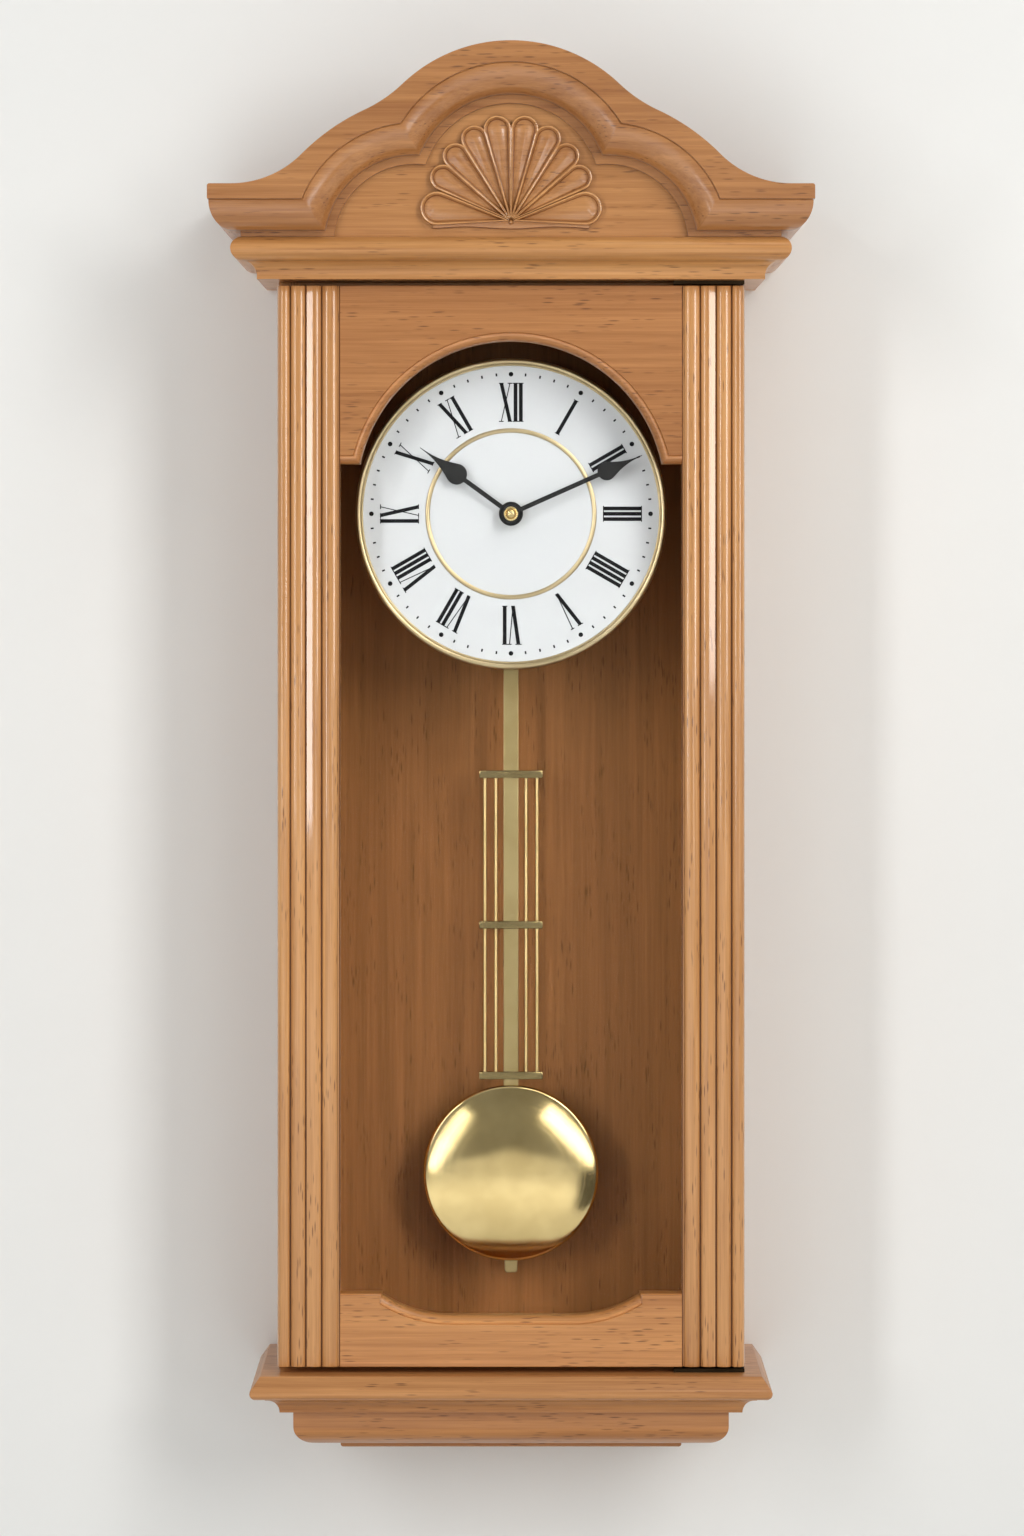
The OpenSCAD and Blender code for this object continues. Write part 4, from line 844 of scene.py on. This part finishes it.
class CLOCK_OT_shell(Operator):
    """Carves the shell: petals with raised rims round cushioned hollows, a wavy foot and a small hub"""

    bl_idname = "clock.shell"
    bl_label = "Shell carving"

    def execute(self, context):
        bm = bmesh.new()
        for side in (-1, 1):
            for turn, tip, half in PETALS:
                cuts = [(self.petal(side * turn, tip, half, inset, start), CARVED_FROM + height)
                        for inset, start, height in PETAL_CUTS]
                lofted(bm, [[(x, depth, z) for x, z in outline] for outline, depth in cuts])
        waves = [(i * 2.2, -2.95 - 0.45 * math.cos(0.36 * i)) for i in range(-15, 16)]
        crown = [(x, 0.4 - 0.058 * abs(x)) for x, z in reversed(waves)]
        lofted(bm, [[(x, CARVED_FROM + height, HUB_Z + z + rise) for x, z in waves]
                    + [(x, CARVED_FROM + height, HUB_Z + z) for x, z in crown]
                    for rise, height in ((0.0, -0.2), (0.0, 1.2), (0.2, 1.6), (0.6, 1.75))])
        spun(bm, [(0.0, CARVED_FROM + 3.0), (0.5, CARVED_FROM + 2.9), (0.95, CARVED_FROM + 2.4),
                  (1.15, CARVED_FROM + 1.0), (0.0, CARVED_FROM + 1.0)], 0.0, HUB_Z - 0.5, 20)
        tint = TYMPANUM_TINT
        materials = [honey("shell", ALONG_X, (0.5, 1.1, 0.6), tint, coat=1.0, gloss=0.15),
                     # Painted shade: a dark tint for the low outer walls of the petals.
                     honey("shell groove", ALONG_X, (0.5, 1.1, 0.6), (0.42, 0.3, 0.22), coat=0.4),
                     # Painted highlight: a pale tint for the crests of the rims.
                     honey("shell rim", ALONG_X, (0.5, 1.1, 0.6), (1.22, 1.32, 1.42), coat=1.0, gloss=0.12)]

        # The low outer walls get the painted shade, and the crests of the rims get the painted highlight.
        def pick(middle, normal):
            height = -middle.y - CARVED_FROM
            return 1 if height < 1.9 and abs(normal.y) < 0.5 else 2 if 3.0 < height < 3.25 else 0

        finish_piece("shell_carving", bm, materials, "case", smooth=35.0, pick=pick)
        return {"FINISHED"}

    def petal(self, turn, tip, half, inset, start):
        """A drop-shaped outline that fans out from the hub."""
        spread = math.sin(math.radians(half))
        centre = tip / (1 + spread)
        r = centre * spread - inset
        edge = math.degrees(math.asin(r / (centre - start)))
        points = [(0.0, start), *arc((0.0, centre), r, r, -edge, 180 + edge, 28)]
        c, s = math.cos(math.radians(turn)), math.sin(math.radians(turn))
        return [(x * c + z * s, HUB_Z - x * s + z * c) for x, z in points]


# Door

RAIL_HALF = 72.8
RAIL_FRONT = front("top_rail")
GLASS_FRONT = front("door_glass")
EDGE_W, EDGE_D = 3.7, 4.0
ARCH_Z = under("top_rail") - 13.2
ARCH_R = 65.6
DIP_FLAT, DIP_R = 26.0, 52.0
SHOULDER_Z = top("bottom_rail")
DIP_Z = SHOULDER_Z - 9.6

# Reeds of a stile from its outer edge, as (start, end) across it, and the slope of the flats on two of them
REEDS = ((0.0, 5.35), (5.8, 12.0), (12.5, 18.7), (19.15, 25.9))
REED_STEPS = 14
FLAT_SLOPE = 0.285


class CLOCK_OT_stiles(Operator):
    """Runs the two reeded stiles"""

    bl_idname = "clock.stiles"
    bl_label = "Stiles"

    def execute(self, context):
        depth = context.scene.clock_shape.reed_depth / MM
        for node, side, place in (("left_stile", -1, (0.7, 0.2, 0.1)), ("right_stile", 1, (1.7, 0.4, 0.6))):
            foot, head = under(node) + 0.05, top(node) - 0.05
            ends = [(0.0, 0.45), (0.12, 0.15), (0.45, 0.0)]
            cuts = [(foot + z, ease) for z, ease in ends] + [(head - z, ease) for z, ease in reversed(ends)]
            bm = bmesh.new()
            lofted(bm, [self.section(side, z, ease, depth) for z, ease in cuts])
            # The stiles' paler tint is partly a painted highlight along the reeds.
            materials = [honey(node, ALONG_Z, place, (1.22, 1.3, 1.45), coat=1.0, gloss=0.1),
                         # Painted shade: a dark tint for the bottoms of the grooves between the reeds. The same tint
                         # marks the dark joint beside the rail.
                         honey("groove " + node, ALONG_Z, place, (0.3, 0.23, 0.18), coat=0.1)]

            # The groove bottoms get the painted shade, and the strip at the inner edge is the dark joint.
            def pick(middle, normal):
                drop, across = DOOR_FRONT + middle.y, HALF_W - abs(middle.x)
                return int(0.8 * depth < drop < depth + 0.1 and 2.0 < across < 26.0 or across > 26.1 and drop < 5.0)

            finish_piece(node, bm, materials, "door", smooth=40.0, pick=pick)
        return {"FINISHED"}

    def section(self, side, z, ease, depth):
        """The stile cut across at one height, drawn in by an ease at its ends."""
        points = []
        for number, (start, end) in enumerate(REEDS):
            for step in range(REED_STEPS + 1):
                turn = math.pi * step / REED_STEPS
                outer_half = step < REED_STEPS / 2
                drop = (1.6 * depth if number == 0 and outer_half else depth) * (1 - math.sin(turn))
                way = (1 - math.cos(turn)) / 2
                if number == 2 and step and outer_half:
                    drop = FLAT_SLOPE * (end - start) * (0.5 - way)
                elif number == 1 and step > 3 and outer_half:
                    drop = 0.18 + FLAT_SLOPE * (end - start) * (0.285 - way)
                points.append((start + (end - start) * way, drop))
        points += [(26.25, 1.9), (26.7, 1.9)]
        face = [(HALF_W - max(across, ease), DOOR_FRONT - drop - ease) for across, drop in points]
        back = [(RAIL_HALF, GLASS_FRONT), (RAIL_HALF + 4.0, GLASS_FRONT), (RAIL_HALF + 4.0, DOOR_BACK + 0.05),
                (HALF_W - 1.0, DOOR_BACK + 0.05), (HALF_W, DOOR_BACK + 1.0)]
        return [(side * x, d, z) for x, d in face + back]


class CLOCK_OT_rails(Operator):
    """Makes the arched top rail and the dipped bottom rail with their moulded edges"""

    bl_idname = "clock.rails"
    bl_label = "Rails"

    def execute(self, context):
        turns = [math.radians(9 * i) for i in range(11)]
        edge = [((EDGE_W - 0.4) * (1 - math.cos(a)), RAIL_FRONT - EDGE_D + (EDGE_D - 0.5) * math.sin(a)) for a in turns]
        cuts = [(0.0, GLASS_FRONT), *edge, (EDGE_W - 0.25, RAIL_FRONT - 0.75), (EDGE_W, RAIL_FRONT - 0.14),
                (EDGE_W + 0.14, RAIL_FRONT)]
        rails = (("top_rail", self.arched, (1.1, 0.2, 0.3), (0.86, 0.79, 0.78)),
                 ("bottom_rail", self.dipped, (1.6, 0.8, 0.2), (1.07, 1.02, 1.0)))
        for node, outline, place, tint in rails:
            bm = bmesh.new()
            lofted(bm, [[(x, depth, z) for x, z in outline(across, 0.22 if depth == RAIL_FRONT else 0.0)]
                        for across, depth in cuts])
            low, high = (top("door_glass"), top(node)) if node == "top_rail" else (under(node), under("door_glass"))
            cuboid(bm, (-RAIL_HALF, DOOR_BACK, low), (RAIL_HALF, GLASS_FRONT + 0.3, high))
            # Painted highlight: a paler tint on the thin bead along the moulded edge.
            bead_highlight_tint = [1.2 * part for part in tint]
            materials = [honey(node, ALONG_X, place, tint),
                         honey("bead " + node, ALONG_X, place, bead_highlight_tint, coat=1.0, gloss=0.12)]
            finish_piece(node, bm, materials, "door", smooth=30.0, pick=self.pick)
        return {"FINISHED"}

    def pick(self, middle, normal):
        """The thin bead along the moulded edge is painted paler, a painted highlight."""
        return int(RAIL_FRONT - 0.77 < -middle.y < RAIL_FRONT - 0.1)

    def arched(self, across, ease):
        """The top rail seen from the front at one step of its moulded edge."""
        foot, r = under("top_rail") + across, ARCH_R + across
        start = math.degrees(math.asin((foot - ARCH_Z) / r))
        half, head = RAIL_HALF - ease, top("top_rail") - ease
        return [(half, head), (half, foot), *arc((0.0, ARCH_Z), r, r, start, 180 - start, 96), (-half, foot),
                (-half, head)]

    def dipped(self, across, ease):
        """The bottom rail from the front. Its moulded edge runs along the dip and stops at the shoulders."""
        r = DIP_R + across
        centre = DIP_Z + DIP_R
        shoulder = SHOULDER_Z - 0.25 * across
        corner = 54.85 + 0.25 * across
        turn = math.degrees(math.acos((corner - DIP_FLAT) / r))
        half, foot = RAIL_HALF - ease, under("bottom_rail") + ease
        side = [(half, foot), (half, shoulder), (corner, shoulder),
                *arc((DIP_FLAT, centre), r, r, -turn, -90, 30)]
        return side + [(-x, z) for x, z in reversed(side)]


class CLOCK_OT_glazing(Operator):
    """Finishes the glass"""

    bl_idname = "clock.glazing"
    bl_label = "Glass"

    def execute(self, context):
        dress(["door_glass"], kept("Clear pane", pane))
        return {"FINISHED"}


class CLOCK_OT_fittings(Operator):
    """Finishes the hinges, the catch and the hanger"""

    bl_idname = "clock.fittings"
    bl_label = "Fittings"

    def execute(self, context):
        # Painted shade: the hinge brass is near black so that it reads as the shade in the door's gap.
        dress(["case_hinge_plates", "case_hinge_screws", "hinge_washer", "door_hinge_plates", "door_hinge_screws"],
              kept("Antique brass", metal, (0.05, 0.033, 0.018), (0.03, 0.02, 0.01), 0.5, (300.0, 300.0, 300.0)))
        dress(["hanger_screws", "dial_board_screws", "strike_plate"], zinc())
        # Painted shade: the hanger plate is near black so that it stays hidden in the shade above the dial.
        dress(["hanger_plate"],
              kept("Blackened steel", metal, (0.1, 0.1, 0.1), (0.06, 0.06, 0.06), 0.5, (200.0, 200.0, 200.0)))
        dress(["catch_magnet"], kept("Ferrite", surface, (0.05, 0.048, 0.047), (0.03, 0.03, 0.03), 0.6))
        return {"FINISHED"}


class CLOCK_OT_dial(Operator):
    """Makes the dial, its bezel and its rings"""

    bl_idname = "clock.dial"
    bl_label = "Dial"

    def execute(self, context):
        steps = context.scene.clock_shape.round_steps
        dress(["dial_plate"], kept("Dial enamel", surface, (0.49, 0.503, 0.515), (0.48, 0.493, 0.505), 0.42))
        dress(["dial_numerals"],
              kept("Dial ink", surface, (0.004, 0.004, 0.005), (0.007, 0.007, 0.008), 0.6, shine=0.1))
        outer, skirt, crown = right("bezel"), behind("bezel"), front("bezel")
        inner, seat = outer - 3.3, DIAL_FACE + 0.05
        roll = arc((outer - 1.35, crown - 1.3), 1.35, 1.3, 160, 0, 12)
        profile = [(inner, seat), (inner, seat + 0.7), *arc((inner + 0.45, seat + 0.75), 0.45, 0.4, 180, 20, 6), *roll,
                   (outer, skirt), (outer - 0.5, skirt), (outer - 0.5, seat)]
        ring_out, ring_top = right("chapter_ring"), front("chapter_ring")
        ring_in = ring_out - 1.9
        ring = [(ring_in, DIAL_FACE), *arc(((ring_in + ring_out) / 2, ring_top - 0.5), 0.95, 0.5, 180, 0, 10),
                (ring_out, DIAL_FACE)]
        material = kept("Bezel brass", metal, (0.62, 0.5, 0.3), (0.5, 0.395, 0.225), 0.3, (60.0, 60.0, 60.0),
                        spread=0.05, bump=0.0000004)
        for node, section in (("bezel", profile), ("chapter_ring", ring)):
            bm = bmesh.new()
            spun(bm, section, 0.0, DIAL_Z, steps, closed=True)
            finish_piece(node, bm, [material], "case", smooth=45.0)
        return {"FINISHED"}


# Hands as (turn from twelve, length, place of the bulb, its radius, radius of the boss, body)
HANDS = {
    "hour_hand": (306.0, 48.3, 28.9, 4.5, 5.2, "hour"),
    "minute_hand": (66.0, 61.6, 45.0, 4.0, 3.9, "minute"),
}
HAND_HALF = 1.0


class CLOCK_OT_hands(Operator):
    """Makes the hands and the cap that holds them"""

    bl_idname = "clock.hands"
    bl_label = "Hands"

    def execute(self, context):
        paint = kept("Hand paint", surface, (0.005, 0.005, 0.005), (0.008, 0.008, 0.008), 0.5, shine=0.25)
        for node, (turn, length, bulb, bulb_r, boss_r, body) in HANDS.items():
            low, high = behind(node), front(node)
            middle = (low + high) / 2
            c, s = math.cos(math.radians(turn)), math.sin(math.radians(turn))
            bm = bmesh.new()
            cuts = [(0.0, middle - 0.3), (0.0, middle + 0.1), (0.12, middle + 0.24), (0.4, middle + 0.3)]
            lofted(bm, [[(along * s + across * c, depth, DIAL_Z + along * c - across * s)
                         for along, across in self.outline(length, bulb, bulb_r, ease)] for ease, depth in cuts])
            spun(bm, [(0.0, low), (boss_r - 0.2, low), (boss_r, low + 0.2), (boss_r, high - 0.5),
                      (boss_r - 0.15, high - 0.15), (boss_r - 0.5, high), (0.0, high)], 0.0, DIAL_Z, 64)
            finish_piece(node, bm, [paint], body)
        dress(["fixing_nut", "minute_arbor", "minute_wheel", "hour_wheel"], brass())
        r, low, high = right("cap_nut"), behind("cap_nut"), front("cap_nut")
        bm = bmesh.new()
        spun(bm, [(0.0, low), (r, low), (r, low + 0.9), (r - 0.2, low + 1.2), (r - 0.75, low + 1.25),
                  (r - 0.95, low + 1.1), *arc((0.0, high - 1.15), r - 1.05, 1.15, 0, 62, 8), (0.55, high - 0.25),
                  (0.0, high - 0.4)], 0.0, DIAL_Z, 48)
        finish_piece("cap_nut", bm, [brass()], "minute", smooth=40.0)
        return {"FINISHED"}

    def outline(self, length, bulb, bulb_r, ease):
        """A drop on a thin shank, drawn along the hand with its half width, and back on the other side."""
        start = math.degrees(math.asin(HAND_HALF / bulb_r))
        side = [(0.0, HAND_HALF), *arc((bulb, 0.0), bulb_r, bulb_r, 180 - start, 66.4, 18)]
        foot = bulb + 0.4 * bulb_r
        for i in range(1, 19):
            t = i / 18
            side.append((foot + t * (length - foot), 0.9 * bulb_r * (1 - t) ** 2.2 + 0.15))
        side = [(along, max(across - ease, 0.04)) for along, across in side]
        return side + [(along, -across) for along, across in reversed(side)]


class CLOCK_OT_movement(Operator):
    """Finishes the movement and its battery"""

    bl_idname = "clock.movement"
    bl_label = "Movement"

    def execute(self, context):
        dress(["movement_case", "movement_cover", "setting_knob", "motor_unit", "drive_magnet"],
              kept("Black moulding", surface, (0.03, 0.03, 0.032), (0.045, 0.045, 0.047), 0.5))
        dress(["pendulum_arm"], kept("White moulding", surface, (0.7, 0.7, 0.66), (0.64, 0.64, 0.6), 0.45))
        dress(["circuit_board"], kept("Solder mask", surface, (0.03, 0.2, 0.07), (0.02, 0.13, 0.05), 0.3))
        dress(["battery"], kept("Cell wrap", surface, (0.1, 0.11, 0.13), (0.07, 0.075, 0.09), 0.3))
        dress(["drive_coil"],
              kept("Coil wire", metal, (0.62, 0.27, 0.13), (0.5, 0.2, 0.09), 0.35, (200.0, 4000.0, 200.0)))
        dress(["battery_contacts", "pendulum_pin"], zinc())
        return {"FINISHED"}


class CLOCK_OT_pendulum(Operator):
    """Makes the rod, the crossbars and the thin rods"""

    bl_idname = "clock.pendulum"
    bl_label = "Pendulum"

    def execute(self, context):
        half, low, high = right("pendulum_rod"), behind("pendulum_rod"), front("pendulum_rod")
        foot, head = under("pendulum_rod"), top("pendulum_rod")
        bm = bmesh.new()
        cuboid(bm, (-half, low, BOB_Z - 20.0), (half, high, head))
        tab = [(-2.8, BOB_Z - 22.0), (2.8, BOB_Z - 22.0), *arc((1.5, foot + 1.3), 1.3, 1.3, 0, -90, 6),
               *arc((-1.5, foot + 1.3), 1.3, 1.3, -90, -180, 6)]
        slab(bm, tab, low, high)
        finish_piece("pendulum_rod", bm, [satin_brass()], "pendulum", soft=0.3)
        wide, back, face, bar = right("crossbars"), behind("crossbars"), front("crossbars"), 3.3
        foot, head = under("crossbars"), top("crossbars")
        bm = bmesh.new()
        for step in range(3):
            z = foot + step * (head - foot - bar) / 2
            cuboid(bm, (-wide, back, z), (wide, face, z + bar))
        material = brass("Aged brass", 0.26, (60.0, 900.0, 900.0), 0.36, bump=0.000001)
        finish_piece("crossbars", bm, [material], "pendulum", soft=0.45)
        dress(["gridiron_rods"], brass("Pale brass rod", 0.5, (900.0, 900.0, 40.0), 0.92))
        return {"FINISHED"}


class CLOCK_OT_bob(Operator):
    """Spins the bob"""

    bl_idname = "clock.bob"
    bl_label = "Bob"

    def execute(self, context):
        steps = context.scene.clock_shape.round_steps
        crown = front("bob_front") + 0.5
        dome_r, turn_r, meet = 196.0, 1.6, 37.0
        slope = math.asin(meet / dome_r)
        turns = [slope * i / 24 for i in range(25)]
        dome = [(dome_r * math.sin(turn), crown - dome_r * (1 - math.cos(turn))) for turn in turns]
        hip = (meet - turn_r * math.sin(slope), dome[-1][1] - turn_r * math.cos(slope))
        lip = arc(hip, turn_r, turn_r, 90 - math.degrees(slope), -12, 14)[1:]
        back = behind("bob_back") - 0.05
        inside = [(lip[-1][0], back), (right("bob_back") + 0.05, back), (right("bob_back") + 0.05, back + 0.7),
                  (meet - 1.0, dome[-1][1] - 1.2), (0.0, crown - 0.8)]
        bm = bmesh.new()
        spun(bm, dome + lip + inside, 0.0, BOB_Z, steps)
        finish_piece("bob_front", bm, [self.spun_brass()], "pendulum", smooth=50.0)
        dress(["bob_back"], satin_brass())
        return {"FINISHED"}

    def spun_brass(self):
        """Brass with fine rings left by the lathe."""
        finish = bpy.context.scene.clock_finish
        made, tree, shader, where = new_material("Spun brass")
        centred = mapped(tree, where, (1.0, 0.0, 1.0), (0.0, 0.0, -BOB_Z * MM))
        reach = make(tree, "ShaderNodeVectorMath", operation="LENGTH")
        tree.links.new(centred, reach.inputs[0])
        ring = make(tree, "ShaderNodeCombineXYZ")
        tree.links.new(reach.outputs["Value"], ring.inputs["X"])
        fine = noise(tree, mapped(tree, ring.outputs[0], (5200.0, 1.0, 1.0)), 2.0, 0.5)
        broad = noise(tree, mapped(tree, ring.outputs[0], (620.0, 1.0, 1.0), (3.7, 0.0, 0.0)), 2.0, 0.5)
        cloud = noise(tree, mapped(tree, where, (40.0, 40.0, 40.0)), 3.0, 0.55)
        tones = [[1.08 * part for part in tone] for tone in (finish.brass_deep, finish.brass_pale)]
        put(tree, shader.inputs["Base Color"],
            mixed(tree, between(tree, cloud, 0.3, 0.7), *tones))
        put(tree, shader.inputs["Roughness"], between(tree, broad, 0.2, 0.8, 0.07, 0.13))
        shader.inputs["Metallic"].default_value = 1.0
        bumped(tree, shader, fine, 0.000004)
        return made


class CLOCK_PT_panel(Panel):
    """Lists the finishes, the sizes and the steps that dress the clock"""

    bl_idname = "CLOCK_PT_panel"
    bl_label = "Clock"
    bl_space_type = "VIEW_3D"
    bl_region_type = "UI"
    bl_category = "Clock"

    def draw(self, context):
        for group in (context.scene.clock_finish, context.scene.clock_shape):
            for name in group.bl_rna.properties.keys():
                if name not in ("rna_type", "name"):
                    self.layout.prop(group, name)
        for step in STEPS:
            self.layout.operator(step.bl_idname)


STEPS = (
    CLOCK_OT_stage, CLOCK_OT_carcass, CLOCK_OT_mouldings, CLOCK_OT_pediment, CLOCK_OT_shell, CLOCK_OT_stiles,
    CLOCK_OT_rails, CLOCK_OT_glazing, CLOCK_OT_fittings, CLOCK_OT_dial, CLOCK_OT_hands, CLOCK_OT_movement,
    CLOCK_OT_pendulum, CLOCK_OT_bob,
)
CLASSES = (ClockFinish, ClockShape, *STEPS, CLOCK_PT_panel)


def register():
    for item in CLASSES:
        bpy.utils.register_class(item)
    bpy.types.Scene.clock_finish = PointerProperty(type=ClockFinish)
    bpy.types.Scene.clock_shape = PointerProperty(type=ClockShape)


def unregister():
    del bpy.types.Scene.clock_shape
    del bpy.types.Scene.clock_finish
    for item in reversed(CLASSES):
        bpy.utils.unregister_class(item)


def corners(box):
    return [list(box[0]), list(box[1])]


def main():
    solids = corners(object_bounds())
    register()
    for step in STEPS:
        group, name = step.bl_idname.split(".")
        getattr(getattr(bpy.ops, group), name)()
    {"cad": solids, "visual": corners(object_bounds())}


if __name__ == "__main__":
    main()
